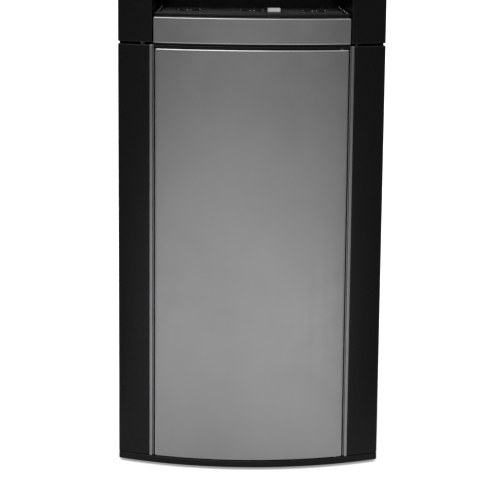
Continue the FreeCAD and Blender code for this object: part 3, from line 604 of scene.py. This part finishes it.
SILICONE = rubbery("milky_silicone_hose", (0.62, 0.62, 0.6))
BOARD = circuit_board("green_circuit_board")
LAMP = lens("clear_lamp_window", (0.55, 0.6, 0.56))
RED = moulded("red_hot_mark", (0.55, 0.02, 0.015), 0.3)
BLUE = moulded("blue_cold_mark", (0.02, 0.10, 0.5), 0.3)
PALE = moulded("pale_room_mark", (0.55, 0.55, 0.55), 0.3)
TAPS = (("hot", RED), ("room", PALE), ("cold", BLUE))

SLOT_FINISH = {"satin_steel": STEEL, "trim_metal": TRIM, "black_plastic": BLACK, "black_paint": SHEET,
               "rubber": RUBBER, "light_plastic": LIGHT, "white_plastic": WHITE,
               "dark_gloss_plastic": DARK_GLOSS, "stainless": STAINLESS, "foam": FOAM, "copper": COPPER,
               "silicone": SILICONE, "board": BOARD, "lamp_lens": LAMP, "magnet": SHEET}


def finish_cad_nodes():
    """Every carried-over CAD node takes the finish of its slot."""
    for node, thing in frame["nodes"].items():
        for place in thing.material_slots:
            place.material = SLOT_FINISH[SLOT_OF[node]]


# ---- the machine

def plinth():
    """Base moulding with its bowed rim, hollow below."""
    low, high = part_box("base_tray")
    outline, wear = bowed_plan(low.x, high.x, high.y, count=40, front_radius=0.0026, back_radius=0.003)
    rows = [(0.0024, low.z + 0.0035, 0.0), (0.0022, low.z + 0.0005, 0.3), (0.0017, low.z, 0.0)]
    rows += rounded_rows(low.z, high.z, 0.0009)[1:]
    stand_for("base_tray", [stacked(outline, wear, rows)], BLACK)


def rubber_feet():
    """Four turned feet with a stepped sole."""
    low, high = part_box("feet")
    r = 0.014
    profile = [(r * 0.5, low.z + 0.0006), (r * 0.55, low.z), (r * 0.9, low.z), (r, low.z + 0.002),
               (r * 0.8, high.z), (r * 0.2, high.z)]
    spots = [(x, y, 0) for x in (low.x + r, high.x - r) for y in (low.y + r, high.y - r)]
    stand_for("feet", [turned(profile, spot, 40, radius=0.0005) for spot in spots], RUBBER)


def pillars():
    """The four front columns, each with softened corners and a fine seam above and below."""
    for node in ("lower_left_pillar", "lower_right_pillar", "upper_left_pillar", "upper_right_pillar"):
        bowed_node(node, BLACK, 0.0011, front_radius=0.0022)


def side_panels():
    """Folded sheet sides: a flat outer face rolled into the rear flange."""
    for node, side in (("left_side_panel", -1), ("right_side_panel", 1)):
        low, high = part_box(node)
        outer = max(abs(low.x), abs(high.x)) * side
        inner = min(abs(low.x), abs(high.x)) * side
        t = PANEL * side
        corners = [(outer, low.y), (outer, high.y), (inner, high.y), (inner, high.y - PANEL),
                   (outer - t, high.y - PANEL), (outer - t, low.y)]
        if side < 0:
            corners = corners[::-1]
        radii = [0.0005, 0.003, 0.0005, 0.0004, 0.0015, 0.0005]
        outline, wear = soften(corners, radii if side > 0 else radii[::-1], 6)
        rows = [(0.0, low.z, 0.2), (0.0, low.z + 0.001, 0.0), (0.0, high.z - 0.001, 0.0), (0.0, high.z, 0.2)]
        stand_for(node, [stacked(outline, wear, rows)], SHEET)


def door():
    """Bowed steel door, its trims and its ribbed inner panel."""
    bowed_node("door_skin", STEEL, 0.0016, front_radius=0.0030, count=48)
    face = 0.0031
    for node in ("left_door_trim", "right_door_trim"):
        a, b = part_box(node)
        ledge = bowed_block(a.x, b.x, b.y, a.z, b.z, 0.0003, inset=0.003, front_radius=0.0007, count=4)
        x0, x1 = (b.x - face, b.x) if a.x > 0 else (a.x, a.x + face)
        strip = bowed_block(x0, x1, b.y, a.z, b.z, 0.0005, inset=-0.0005, front_radius=0.0009, count=4)
        stand_for(node, [ledge, strip], TRIM)
    a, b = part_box("door_liner")
    y0, y1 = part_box("door_skin")[1].y - 0.001, b.y
    rail, tuck, pan = 0.026, 0.024, 0.02
    bars = [block((a.x, y0, a.z), (b.x, y1, a.z + rail), 0.0012),
            block((a.x, y0, b.z - rail), (b.x, y1, b.z), 0.0012),
            block((a.x, y0, a.z + tuck), (a.x + rail, y1, b.z - tuck), 0.0012),
            block((b.x - rail, y0, a.z + tuck), (b.x, y1, b.z - tuck), 0.0012),
            block((a.x + pan, y0, a.z + pan), (b.x - pan, y1 - 0.002, b.z - pan), 0.001)]
    ribs = [block((a.x + 0.045, y1 - 0.003, z), (b.x - 0.045, y1 - 0.0006, z + 0.006), 0.001)
            for z in np.linspace(a.z + 0.07, b.z - 0.076, 7)]
    stand_for("door_liner", bars + ribs, LIGHT)


def deck_edge():
    """The frame's edge between the door and the tray."""
    bowed_node("mid_deck", BLACK, 0.0007, inset=0.0006, front_radius=0.0015, count=40)


def drip_tray():
    """Pan with a rounded rim, and the steel strip across its front."""
    bowed_node("tray_strip", STEEL, 0.0011, front_radius=0.0018, count=48)
    low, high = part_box("tray_pan")
    outline, wear = bowed_plan(low.x, high.x, high.y, inset=low.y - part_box("tray_strip")[0].y,
                               front_radius=0.0065, back_radius=0.02, count=40)
    wall, floor = MOULDING, low.z + MOULDING
    rows = rounded_rows(low.z, high.z, 0.0007)[:-1]
    rows += [(wall, high.z - 0.0005, 0.3), (wall, high.z - 0.0015, 0.0), (wall, floor + 0.002, 0.0),
             (wall + 0.002, floor, 0.0), (wall + 0.004, floor, 0.0)]
    stand_for("tray_pan", [stacked(outline, wear, rows)], BLACK_TRAY)


def grille_frame(low, high, inset):
    """The grille's bowed rim, open in the middle."""
    rim, top = GRILLE_RIM, high.z
    outer = bowed_plan(low.x, high.x, high.y, inset=inset, front_radius=0.0035,
                       back_radius=GRILLE_CORNER, count=40)[0]
    inner = bowed_plan(low.x + rim, high.x - rim, high.y - rim, inset=inset + rim, front_radius=0.002,
                       back_radius=0.0095, count=40)[0]
    return between([
        (inner, 0.0, low.z, 0.0), (outer, 0.0006, low.z, 0.0), (outer, 0.0, low.z + 0.0006, 0.2),
        (outer, 0.0, top - 0.0014, 0.0), (outer, 0.0004, top - 0.0005, 1.0), (outer, 0.0014, top, 0.4),
        (outer, 0.0030, top, 0.0), (inner, -0.0008, top - 0.0004, 0.2), (inner, 0.0, top - 0.0012, 0.2)])


def grille_bars(low, high, inset, tap_x):
    """Cross bars as long as the bowed rim leaves room for, and four runners under them."""
    rim, pitch, half_bar, runner = GRILLE_RIM, 0.0055, 0.0008, 0.001
    corner_x, corner_y, arc = high.x - GRILLE_CORNER, high.y - GRILLE_CORNER, GRILLE_CORNER - rim
    bars = []
    for y in np.arange(high.y - rim - pitch, low.y + rim, -pitch):
        bow_reach = math.sqrt(max(0.0, (BOW - inset - rim) ** 2 - (CROWN + BOW - y) ** 2))
        half = min(high.x - rim + 0.001, bow_reach)
        if y > corner_y:
            half = min(half, corner_x + math.sqrt(max(0.0, arc ** 2 - (y - corner_y) ** 2)))
        bars.append(block((-half, y - half_bar, low.z + 0.0004), (half, y + half_bar, high.z - 0.0006),
                          0.0005, steps=2))
    for share in (-1.5, -0.5, 0.5, 1.5):
        x = share * tap_x
        front = float(bow_y(abs(x), inset + rim))
        bars.append(block((x - runner, front, low.z), (x + runner, high.y - rim, high.z - 0.0016),
                          0.0005, steps=2))
    return bars


def grille_targets(taps, low_z, top):
    """A turned ring and hub under each tap."""
    ring = [(0.0115, low_z), (0.0160, low_z), (0.0160, top), (0.0120, top), (0.0115, top - 0.001)]
    hub = [(0.001, low_z), (0.005, low_z), (0.005, top - 0.0006), (0.0034, top - 0.0002),
           (0.001, top - 0.0012)]
    shells = []
    for x, y in taps:
        shells.append(turned(ring, (x, y, 0), 72, True, 0.0005))
        shells.append(turned(hub, (x, y, 0), 36, True, 0.0003))
    return shells


def drip_grille():
    """Grille of fine cross bars in a bowed frame, with targets, studs and a window for the float."""
    low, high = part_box("drip_grille")
    top, inset = high.z, low.y - CROWN
    tap_y = middle("room_nozzle")[1]
    taps = [(middle(word + "_nozzle")[0], tap_y) for word, _ in TAPS]
    shells = [grille_frame(low, high, inset), *grille_bars(low, high, inset, taps[2][0]),
              *grille_targets(taps, low.z, top)]
    side, stud_ring = high.x - 0.0055, 0.0135
    studs = [(x, y) for y in np.linspace(low.y + 0.026, high.y - 0.020, 5) for x in (-side, side)]
    studs += [(x + stud_ring * math.sin(turn), y - stud_ring * math.cos(turn))
              for x, y in taps for turn in (-1.3, -0.18, 0.18, 1.3)]
    dome = [(0.0002, top + 0.0011), (0.0006, top + 0.0010), (0.0010, top + 0.0006), (0.0012, top - 0.0012),
            (0.0004, top - 0.0014)]
    domes = [turned(dome, (x, y, 0), 20, radius=0.0002, steps=2) for x, y in studs]
    piece("grille_studs", domes, STUD, BODY_OF["drip_grille"])
    float_low, float_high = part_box("tray_float")
    a, b = float_low.x + 0.0035, float_high.x - 0.0035
    c, d = float_low.y + 0.0022, float_high.y - 0.0022
    wall = 0.002
    for corner, opposite in (((a - wall, c - wall), (b + wall, c)), ((a - wall, d), (b + wall, d + wall)),
                             ((a - wall, c), (a, d)), ((b, c), (b + wall, d))):
        shells.append(block((*corner, low.z), (*opposite, top - 0.0002), 0.0005, steps=2))
    stand_for("drip_grille", shells, BLACK_TRAY)


def tray_float():
    """White flag on its hollow float."""
    low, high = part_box("tray_float")
    inset = 0.0046
    step = low.z + 0.0145
    flag = block((low.x + inset, low.y + 0.0036, step - 0.002), (high.x - inset, high.y - 0.0036, high.z))
    hull = block((low.x, low.y, low.z), (high.x, high.y, step), 0.004, 0.002)
    stand_for("tray_float", [flag, hull], WHITE)


def recess():
    """Back and cheeks of the recess, and its ceiling."""
    low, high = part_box("alcove_shell")
    t = MOULDING
    corners = [(low.x, low.y), (low.x + t, low.y), (low.x + t, high.y - t), (high.x - t, high.y - t),
               (high.x - t, low.y), (high.x, low.y), (high.x, high.y), (low.x, high.y)]
    outline, wear = soften(corners, [0.0005, 0.0005, 0.02, 0.02, 0.0005, 0.0005, 0.022, 0.022], 10)
    rows = [(0.0, low.z, 0.0), (0.0, low.z + 0.001, 0.0), (0.0, high.z - 0.001, 0.0), (0.0, high.z, 0.0)]
    stand_for("alcove_shell", [stacked(outline, wear * 0, rows)], BLACK)
    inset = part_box("head_deck")[0].y - CROWN
    bowed_node("head_deck", BLACK, 0.0006, inset=inset, front_radius=0.001, count=32)


def lamp_spots():
    """Where the three lamps stand: x and z."""
    reach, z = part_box("indicator_lamps")[1].x - 0.004, middle("indicator_lamps")[2]
    return [(-reach, z), (0.0, z), (reach, z)]


def lock_spot():
    """Where the lock slider's thumb plate stands: x and z."""
    return middle("lock_slider")[0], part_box("lock_slider")[0].z + 0.005


def control_head():
    """Fascia pierced for the buttons, the lock and the lamps."""
    low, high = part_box("head_fascia")
    face = bowed_block(low.x, high.x, high.y, low.z, high.z, 0.0016, front_radius=0.003, count=48)
    front, behind = low.y - 0.004, high.y - 0.01
    holes = [(*middle(word + "_button")[::2], BUTTON + BEZEL, 72) for word, _ in TAPS]
    holes += [(x, z, 0.0031, 40) for x, z in lamp_spots()]
    cutters = [turned([(r, front), (r, behind)], (x, 0, z), sides, axis="y") for x, z, r, sides in holes]
    x, z = lock_spot()
    cutters.append(tablet((x - 0.004, front, z - 0.013), (x + 0.004, behind, z + 0.008), 0.0012))
    stand_for("head_fascia", [pierced(face, *cutters)], STEEL, sharp=30)


def push_buttons():
    """Dished buttons, each with a coloured ring and a bright bezel, all following the bow."""
    r, rim = BUTTON, BUTTON + BEZEL
    dish = [(0.0006, 0.0003), (r * 0.55, 0.0005), (r * 0.80, 0.0010), (r * 0.93, 0.0004),
            (r - 0.0006, 0.0005), (r, 0.0014), (r, 0.012)]
    ring = [(r * 0.58, 0.00035), (r * 0.66, 0.00045), (r * 0.66, 0.0016), (r * 0.58, 0.0016)]
    bezel = [(r + 0.0004, 0.0008), (r + 0.0009, 0.0001), (rim - 0.0002, 0.0001), (rim, 0.0004), (rim, 0.004),
             (r + 0.0004, 0.004)]
    for word, mark in TAPS:
        node = word + "_button"
        x, z = middle(node)[::2]
        stand_for(node, [on_bow(turned(dish, (x, 0, z), 96, radius=0.0006, axis="y"))], DARK_GLOSS)
        marking = on_bow(turned(ring, (x, 0, z), 96, True, 0.0001, "y"))
        piece(node + "_mark", [marking], mark, BODY_OF[node])
        border = on_bow(turned(bezel, (x, 0, z), 96, True, 0.0002, "y"))
        piece(node + "_bezel", [border], TRIM, "cabinet")


def lock_slider():
    """Red slider: a thumb plate with three ridges, and the shoe behind the fascia."""
    x, z = lock_spot()
    y = float(bow_y(x + 0.0036)) + 0.0004
    shells = [tablet((x - 0.0034, y, z - 0.0019), (x + 0.0034, y + 0.006, z + 0.0075))]
    shells += [block(*around(x, z + lift, 0.0028, 0.0004, y - 0.0003, y + 0.001), 0.0002, steps=2)
               for lift in (0.0008, 0.0028, 0.0048)]
    shells.append(block((x - 0.0062, y + 0.004, z - 0.0048), (x + 0.0062, y + 0.007, z + 0.0098), 0.0006))
    stand_for("lock_slider", shells, RED)


def lamps():
    """Three lamp windows on a rail, each in a bright ring."""
    windows, rings = [], []
    for x, z in lamp_spots():
        y = float(bow_y(x))
        window = [(0.0001, y + 0.0006), (0.0009, y + 0.0007), (0.0016, y + 0.0011), (0.0019, y + 0.0018),
                  (0.0019, y + 0.02)]
        windows.append(turned(window, (x, 0, z), 32, radius=0.0002, axis="y"))
        ring = [(0.0020, y + 0.0009), (0.0024, y + 0.0001), (0.0030, y + 0.0001), (0.0030, y + 0.003),
                (0.0020, y + 0.003)]
        rings.append(turned(ring, (x, 0, z), 40, True, 0.0002, "y"))
    last_x, z = lamp_spots()[-1]
    y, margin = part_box("indicator_lamps")[1].y, 0.0038
    windows.append(block(*around(0.0, z, last_x + margin, margin, y - 0.004, y - 0.0002), 0.0005))
    stand_for("indicator_lamps", windows, LAMP)
    piece("lamp_bezels", rings, TRIM, "cabinet")


def nozzles():
    """Turned tap nozzles with a coloured band."""
    ceiling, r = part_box("head_deck")[0].z, 0.009
    for word, mark in TAPS:
        node = word + "_nozzle"
        low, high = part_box(node)
        centre, tip = (*middle(node)[:2], 0), low.z
        bore, collar, neck = 0.0035, r + 0.005, r + 0.002
        profile = [(bore, high.z), (bore, tip), (r - 0.003, tip), (r - 0.002, tip + 0.008), (r, tip + 0.022),
                   (r, ceiling - 0.006), (collar, ceiling - 0.005), (collar, ceiling - 0.0002),
                   (neck, ceiling - 0.0002), (neck, high.z)]
        stand_for(node, [turned(profile, centre, 60, True, 0.0012)], DARK_GLOSS)
        band = rectangle(r - 0.0004, tip + 0.0235, r + 0.0004, tip + 0.0265)
        piece(node + "_band", [turned(band, centre, 60, True, 0.0002)], mark, "cabinet")


def top_cover():
    """Lid with a soft shoulder, sinking slightly to the bottle well."""
    low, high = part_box("top_cover")
    centre, hole, soft, sunk = np.array(middle("bottle_collar")[:2]), 0.076, 0.0055, -0.0008
    plan = bowed_plan(low.x, high.x, high.y, front_radius=0.006, back_radius=0.006, count=48)
    outline, wear = refined(*plan, 0.009)
    away = outline - centre
    circle = centre + away / np.linalg.norm(away, axis=1)[:, None] * hole
    a = np.linspace(0, math.pi / 2, 9)
    rows = [(0.0025, low.z, 0.0), (0.0, low.z, 0.0), (0.0, low.z + 0.0008, 0.6),
            (0.0, high.z - soft - GUARD, 0.0)]
    rows += list(zip(soft * (1 - np.cos(a)), high.z - soft + soft * np.sin(a), 0.5 * np.sin(2 * a)))
    layers = [raised(inset_outline(outline, inset), height) for inset, height, _ in rows]
    marks = [np.maximum(wear * 0.5 * (inset < UNWORN), mark) for inset, _, mark in rows]
    shoulder = layers[-1][:, :2]
    for share, sink, mark in ((0.02, 0.0, 0.0), (0.07, 0.0, 0.0), (0.08, -0.0003, 0.3), (0.095, sunk, 0.0),
                              (0.15, sunk, 0.0), (0.6, sunk, 0.0), (1.0, sunk, 0.0)):
        layers.append(raised(shoulder + (circle - shoulder) * share, high.z + sink))
        marks.append(np.full(len(outline), mark))
    layers.append(raised(circle, low.z))
    marks.append(np.zeros(len(outline)))
    faces = grid_faces(len(layers), len(outline), True)
    stand_for("top_cover", [shell(np.vstack(layers), faces, np.concatenate(marks))], BLACK)


def bottle_collar():
    """Turned funnel ring for the bottle."""
    low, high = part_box("bottle_collar")
    outer, bore, seat = 0.5 * (high.x - low.x), 0.066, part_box("top_cover")[1].z
    profile = [(bore, low.z), (bore + 0.008, low.z), (bore + 0.008, seat + 0.0002), (outer, seat + 0.0002),
               (outer, seat + 0.003), (outer - 0.004, seat + 0.008), (outer - 0.010, high.z - 0.006),
               (outer - 0.014, high.z), (bore + 0.014, high.z), (bore + 0.006, high.z - 0.008),
               (bore, high.z - 0.012)]
    radii = [0.001, 0.001, 0.001, 0.0008, 0.0015, 0.006, 0.006, 0.003, 0.003, 0.006, 0.006]
    ring = turned(profile, (*middle("bottle_collar")[:2], 0), 120, True, radii, steps=6)
    stand_for("bottle_collar", [ring], BLACK)


def condenser():
    """Serpentine tube and the rack of wires on the machine's back."""
    low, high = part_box("condenser_tube")
    r, wire, rows, pitch = 0.0025, 0.001, 15, 0.036
    half, y, bottom = high.x - r, middle("condenser_tube")[1], high.z - r - rows * pitch
    points = [(half - 0.010, y, bottom)]
    for row in range(rows):
        side = half if row % 2 else -half
        points += [(side, y, bottom + row * pitch), (side, y, bottom + (row + 1) * pitch)]
    points.append((0.0, y, bottom + rows * pitch))
    stand_for("condenser_tube", [tube(rounded_path(points, 0.008), r, 14)], SHEET)
    low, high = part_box("condenser_wires")
    wire_y, bar_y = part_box("condenser_tube")[1].y + wire + 0.00005, high.y - wire
    shells = [rod((i * 0.0088, wire_y, low.z), (i * 0.0088, wire_y, high.z), wire) for i in range(-13, 14)]
    shells += [rod((low.x, bar_y, z), (high.x, bar_y, z), wire) for z in (low.z + 0.007, high.z - 0.005)]
    stand_for("condenser_wires", shells, SHEET)


def screw(x, y, z, radius=0.0034):
    """A pan-head screw on the rear face: a dome with a crossed recess."""
    dome = [(0.0002, y + 0.0018), (radius * 0.5, y + 0.0017), (radius * 0.85, y + 0.0012),
            (radius, y + 0.0003), (radius, y - 0.001)]
    arm, half_slot = radius * 0.6, 0.0004
    bars = [block(*around(x, z, half_x, half_z, y + 0.0006, y + 0.003), 0.0001, steps=1)
            for half_x, half_z in ((arm, half_slot), (half_slot, arm))]
    return pierced(turned(dome, (x, 0, z), 28, radius=0.0003, axis="y", steps=2), *bars)


def rear_panel():
    """Pressed hoods over the louvre slots, and the panel's screws."""
    low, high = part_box("back_panel")
    root = high.y - 0.0004
    a = np.linspace(0.0, math.pi * 0.5, 7)
    hoods = []
    for z in [0.040 + row * 0.014 for row in range(10)]:
        outer = np.column_stack([root + 0.0036 * np.sin(a), z + 0.0052 * np.cos(a)])
        inner = np.column_stack([root + 0.0029 * np.sin(a), z + 0.0045 * np.cos(a)])[::-1]
        outline = np.vstack([outer, inner])
        for x in (-0.096, 0.014):
            rows = [(0.0, x - 0.001, 0.0), (0.0, x + 0.083, 0.0)]
            hoods.append(facing("x", stacked(outline, np.zeros(len(outline)), rows)))
    piece("louvre_hoods", hoods, SHEET, "cabinet")
    top_row = 0.888
    spots = [(x, z) for x in (low.x + 0.007, high.x - 0.007) for z in (0.024, 0.30, 0.60, top_row)]
    spots += [(-0.045, top_row), (0.045, top_row)]
    piece("rear_screws", [screw(x, high.y, z) for x, z in spots], STAINLESS, "cabinet")


def power_inlet(y):
    """Inlet shroud with its floor and three pins, standing on the rear face at y."""
    low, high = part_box("power_inlet")
    cx, _, cz = middle("power_inlet")
    shells = [frame_ring((low.x, y, low.z), (high.x, high.y, high.z), 0.006, 0.004, 0.0009),
              frame_ring(*around(cx, cz, 0.0135, 0.0095, y - 0.016, y + 0.0012), 0.0024, 0.003, 0.0003),
              tablet(*around(cx, cz, 0.0125, 0.0085, y - 0.016, y - 0.0125), 0.002)]
    stand_for("power_inlet", shells, BLACK)
    pins = [tablet(*around(cx + dx, cz + dz, 0.0008, 0.002, y - 0.0135, y - 0.001), 0.0005, 0.0003)
            for dx, dz in ((-0.0065, -0.0015), (0.0, 0.002), (0.0065, -0.0015))]
    piece("inlet_pins", pins, STAINLESS, "cabinet")


def switches(y):
    """Frame plate with two tubs, and a rocker leaning in each."""
    low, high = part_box("switch_frame_plate")
    mid = middle("switch_frame_plate")[2]
    rockers = [(node, middle(node)[0], mark) for node, mark in (("heat_rocker", RED), ("cool_rocker", BLUE))]
    holes = [tablet(*around(x, mid, 0.008, 0.0095, y - 0.01, high.y + 0.01), 0.0008) for _, x, _ in rockers]
    tubs = [frame_ring(*around(x, mid, 0.0094, 0.0108, y - 0.014, y + 0.0004), 0.0014, 0.0014, 0.0002)
            for _, x, _ in rockers]
    plate = tablet((low.x, y, low.z), (high.x, high.y, high.z), 0.003, 0.0009)
    stand_for("switch_frame_plate", [pierced(plate, *holes), *tubs], DARK_GLOSS, sharp=30)
    root, tip, half = -0.004, 0.009, 0.0082
    outline, wear = soften([(root, -half), (tip, -half), (0.0072, 0.0), (tip, half), (root, half)],
                           [0.0004, 0.0008, 0.012, 0.0008, 0.0004], 8)
    for node, x, mark in rockers:
        lean = (math.radians(-6), x, y - 0.0045, SWITCH_HEIGHT)
        cap = facing("x", stacked(outline, wear, rounded_rows(-0.0076, 0.0076, 0.0006)))
        stand_for(node, [leaned(cap, *lean)], DARK_GLOSS)
        dot = tablet((-0.0022, 0.0070, 0.0040), (0.0022, 0.0086, 0.0056), 0.0006, 0.0002)
        piece(node + "_mark", [leaned(dot, *lean)], mark, BODY_OF[node])


def thermostat(y):
    """Fluted knob with a grip bar and a pointer, in a scale of growing dots."""
    node, (cx, _, cz) = "thermostat_knob", middle("thermostat_knob")
    profile = [(0.0002, y - 0.008), (0.0039, y - 0.008), (0.0039, y + 0.001), (0.0129, y + 0.001),
               (0.0129, y + 0.004), (0.0120, y + 0.0118), (0.0100, y + 0.012), (0.0002, y + 0.0115)]
    grip = tablet(*around(cx, cz, 0.002, 0.0115, y + 0.010, y + 0.016), 0.0008, 0.0006)
    stand_for(node, [fluted(profile, cx, cz, 0.0115, 0.018, 24), grip], BLACK)
    pointer = tablet((cx - 0.0004, y + 0.0155, cz + 0.0030), (cx + 0.0004, y + 0.0160, cz + 0.0105),
                     0.0002, 0.0001)
    piece("knob_pointer", [pointer], PALE, BODY_OF[node])
    scale, scale_radius = [], 0.0175
    for k in range(11):
        turn, dot = math.radians(-135 + 27 * k), 0.0005 + 0.00006 * k
        spot = (cx + scale_radius * math.sin(turn), 0, cz + scale_radius * math.cos(turn))
        scale.append(turned([(0.0001, y + 0.0003), (dot, y + 0.0003), (dot, y - 0.0005)], spot, 16, axis="y"))
    piece("knob_scale", scale, PALE, "cabinet")


def drain(y):
    """Fluted drain cap with a wing, on its flanged spout."""
    low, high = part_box("drain_cap")
    cx, _, cz = middle("drain_cap")
    profile = [(0.0090, low.y), (0.0119, low.y), (0.0119, y + 0.0078), (0.0105, y + 0.0080),
               (0.0002, y + 0.0080)]
    wing = tablet(*around(cx, cz, 0.0030, 0.0085, y + 0.007, high.y), 0.0012, 0.0012)
    stand_for("drain_cap", [fluted(profile, cx, cz, 0.0112, 0.016, 30), wing], WHITE)
    low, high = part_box("drain_spout")
    cx, _, cz = middle("drain_spout")
    bore, pipe, flange = 0.006, 0.0086, 0.013
    profile = [(bore, low.y), (pipe, low.y), (pipe, y + 0.0001), (flange, y + 0.0001), (flange, y + 0.002),
               (pipe, y + 0.002), (pipe, high.y), (bore, high.y)]
    stand_for("drain_spout", [turned(profile, (cx, 0, cz), 72, True, 0.0004, "y")], WHITE)


def rear_fittings():
    """Inlet, switches, thermostat, drain and wall spacers."""
    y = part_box("back_panel")[1].y
    for fitting in (power_inlet, switches, thermostat, drain):
        fitting(y)
    low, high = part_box("wall_spacers")
    width = 0.012
    stand_for("wall_spacers", [tablet((x, low.y, low.z), (x + width, high.y, high.z), 0.003, 0.0015)
                               for x in (low.x, high.x - width)], BLACK)


def storage():
    """Moulded compartment behind the door, the door's seal, its magnet and its hinge pins."""
    low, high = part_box("cabinet_liner")
    t, floor = 0.0025, high.y - 0.0025
    outline, wear = soften(rectangle(low.x, low.z, high.x, high.z), 0.012, 8)
    rows = [(0.0, high.y, 0.0), (0.0, low.y + 0.0006, 0.0), (0.0006, low.y, 0.6), (t - 0.0006, low.y, 0.6),
            (t, low.y + 0.0006, 0.0), (t, floor - 0.006, 0.0), (t + 0.002, floor - 0.002, 0.0),
            (t + 0.006, floor, 0.0)]
    x0, x1 = low.x + 0.02, high.x - 0.02
    ribs = [tablet((x0, floor - 0.0015, z), (x1, floor + 0.001, z + 0.005), 0.002, 0.0007)
            for z in np.linspace(low.z + 0.08, high.z - 0.08, 6)]
    stand_for("cabinet_liner", [facing("y", stacked(outline, wear * 0, rows)), *ribs], LIGHT)
    stand_for("door_seal", [frame_ring(*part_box("door_seal"), 0.006, 0.003, 0.0012)], RUBBER)
    stand_for("catch_magnet", [block(*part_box("catch_magnet"), 0.0012)], SHEET)
    low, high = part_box("hinge_pins")
    door_low, door_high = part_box("door_skin")
    x, y, _ = middle("hinge_pins")
    r, core, grip = 0.0022, 0.0002, 0.011
    pins = [[(core, start), (r, start), (r, stop), (core, stop)]
            for start, stop in ((low.z, door_low.z + grip), (door_high.z - grip, high.z))]
    stand_for("hinge_pins", [turned(pin, (x, y, 0), 32, radius=0.0004) for pin in pins], STAINLESS)


# ---- stage

def world_light():
    """Surround: white to the eye; in light, bright above and behind, dim in front except straight ahead.

    In front it is 0.05 + 0.34 exp(-(x / 0.42)^2); smoothsteps of height and depth raise it to 1.05."""
    world = bpy.data.worlds.new("studio")
    bpy.context.scene.world = world
    world.use_nodes = True
    f = Nodes(world.node_tree)
    background = f.tree.nodes["Background"]
    way = f.add("ShaderNodeTexCoord", {}, {}, "Generated")
    ahead = 2.718 ** (0 - (f.along(way, "X") * (1 / 0.42)) ** 2)
    dim = 0.05 + 0.34 * ahead
    up = f.smooth(f.along(way, "Z"), 0.30, 0.80)
    behind = f.smooth(f.along(way, "Y"), -0.25, 0.35)
    level = dim + (1.05 - dim) * (up + behind - up * behind)
    f.feed(background.inputs["Strength"], level + (1.0 - level) * f.seen())
    f.feed(background.inputs["Color"], (1.0, 1.0, 1.0))


def stage():
    """Pale floor and two soft suns.

    To the eye the floor is one pale tone. In light its colour is painted light: a painted pool of light,
    bright in a fan where x^2 / (y^2 + 0.01) is small and beside the machine, both fading with distance, with
    a painted shadow that darkens it close to the machine, and dark painted shade elsewhere."""
    reach = 60.0
    floor = linked("floor", raised(np.array(rectangle(-reach, -reach, reach, reach)), 0.0), [[0, 1, 2, 3]],
                   np.zeros(4))
    f = Finish("pale_floor")
    away = f.add("ShaderNodeVectorMath", {"operation": "LENGTH"}, {0: f.spot()}, 1)
    x = f.along(f.spot(), "X") + 0.04
    y = f.along(f.spot(), "Y")
    fan = 1.0 - f.smooth(x * x * ((y * y + 0.01) ** -1.0), 0.45, 1.7)
    beside = f.smooth(y, -0.40, -0.05)
    # Painted shadow of the machine: the floor's lighting colour darkens from 0.84 to 0.60 close to the
    # machine.
    near_floor_painted_shadow = f.blend((0.60, 0.60, 0.60), (0.84, 0.84, 0.84), f.smooth(away, 0.30, 1.3))
    lit = (fan + beside - fan * beside) * (1.0 - f.smooth(away, 1.3, 3.1))
    # Painted light: for lighting, the floor carries a painted pool of light in the fan and beside the
    # machine, and painted shade of 0.11 elsewhere.
    painted_floor_light = f.blend((0.11, 0.11, 0.11), near_floor_painted_shadow, lit)
    seen = f.seen()
    floor.data.materials.append(f.done(Base_Color=f.blend(painted_floor_light, (0.90, 0.90, 0.90), seen), Roughness=0.8,
                                       Emission_Color=f.blend((0.0, 0.0, 0.0), (0.34, 0.34, 0.34), seen),
                                       Emission_Strength=1.0))
    for name, way, power, width in (("key_sun", (0.35, 0.55, -1.0), 1.15, 50),
                                    ("rim_sun", (-0.5, -0.4, -1.0), 0.6, 40)):
        lamp = bpy.data.lights.new(name, "SUN")
        lamp.energy = power
        lamp.angle = math.radians(width)
        holder = bpy.data.objects.new(name, lamp)
        holder.rotation_euler = Vector(way).to_track_quat("-Z", "Y").to_euler()
        bpy.context.scene.collection.objects.link(holder)
    bpy.context.scene.view_settings.view_transform = "Standard"


def camera():
    """Long lens, a little above the drip tray, looking slightly down and just left of the middle."""
    yaw, pitch, roll = 0.0130, 0.1714, -0.0100
    distance, side, height = 2.0, -0.0249, 0.6417
    focal, across, down, picture = 1743.8, 251.5, 226.0, 503
    ahead = Vector((math.sin(yaw) * math.cos(pitch), math.cos(yaw) * math.cos(pitch), -math.sin(pitch)))
    right = Vector((math.cos(yaw), -math.sin(yaw), 0))
    below = ahead.cross(right)
    rolled_right = right * math.cos(roll) + below * math.sin(roll)
    rolled_below = below * math.cos(roll) - right * math.sin(roll)
    turn = Matrix((rolled_right, -rolled_below, -ahead)).transposed()
    view = bpy.data.cameras.new("main_view")
    view.lens = focal / picture * view.sensor_width
    view.shift_x = 0.5 - across / picture
    view.shift_y = down / picture - 0.5
    holder = bpy.data.objects.new("main_view", view)
    holder.matrix_world = Matrix.Translation((side, CROWN - distance, height)) @ turn.to_4x4()
    bpy.context.scene.collection.objects.link(holder)
    bpy.context.scene.camera = holder


for build in (finish_cad_nodes, plinth, rubber_feet, pillars, side_panels, door, deck_edge, drip_tray,
              drip_grille, tray_float, recess, control_head, push_buttons, lock_slider, lamps, nozzles,
              top_cover, bottle_collar, condenser, rear_panel, rear_fittings, storage, stage, world_light,
              camera):
    build()
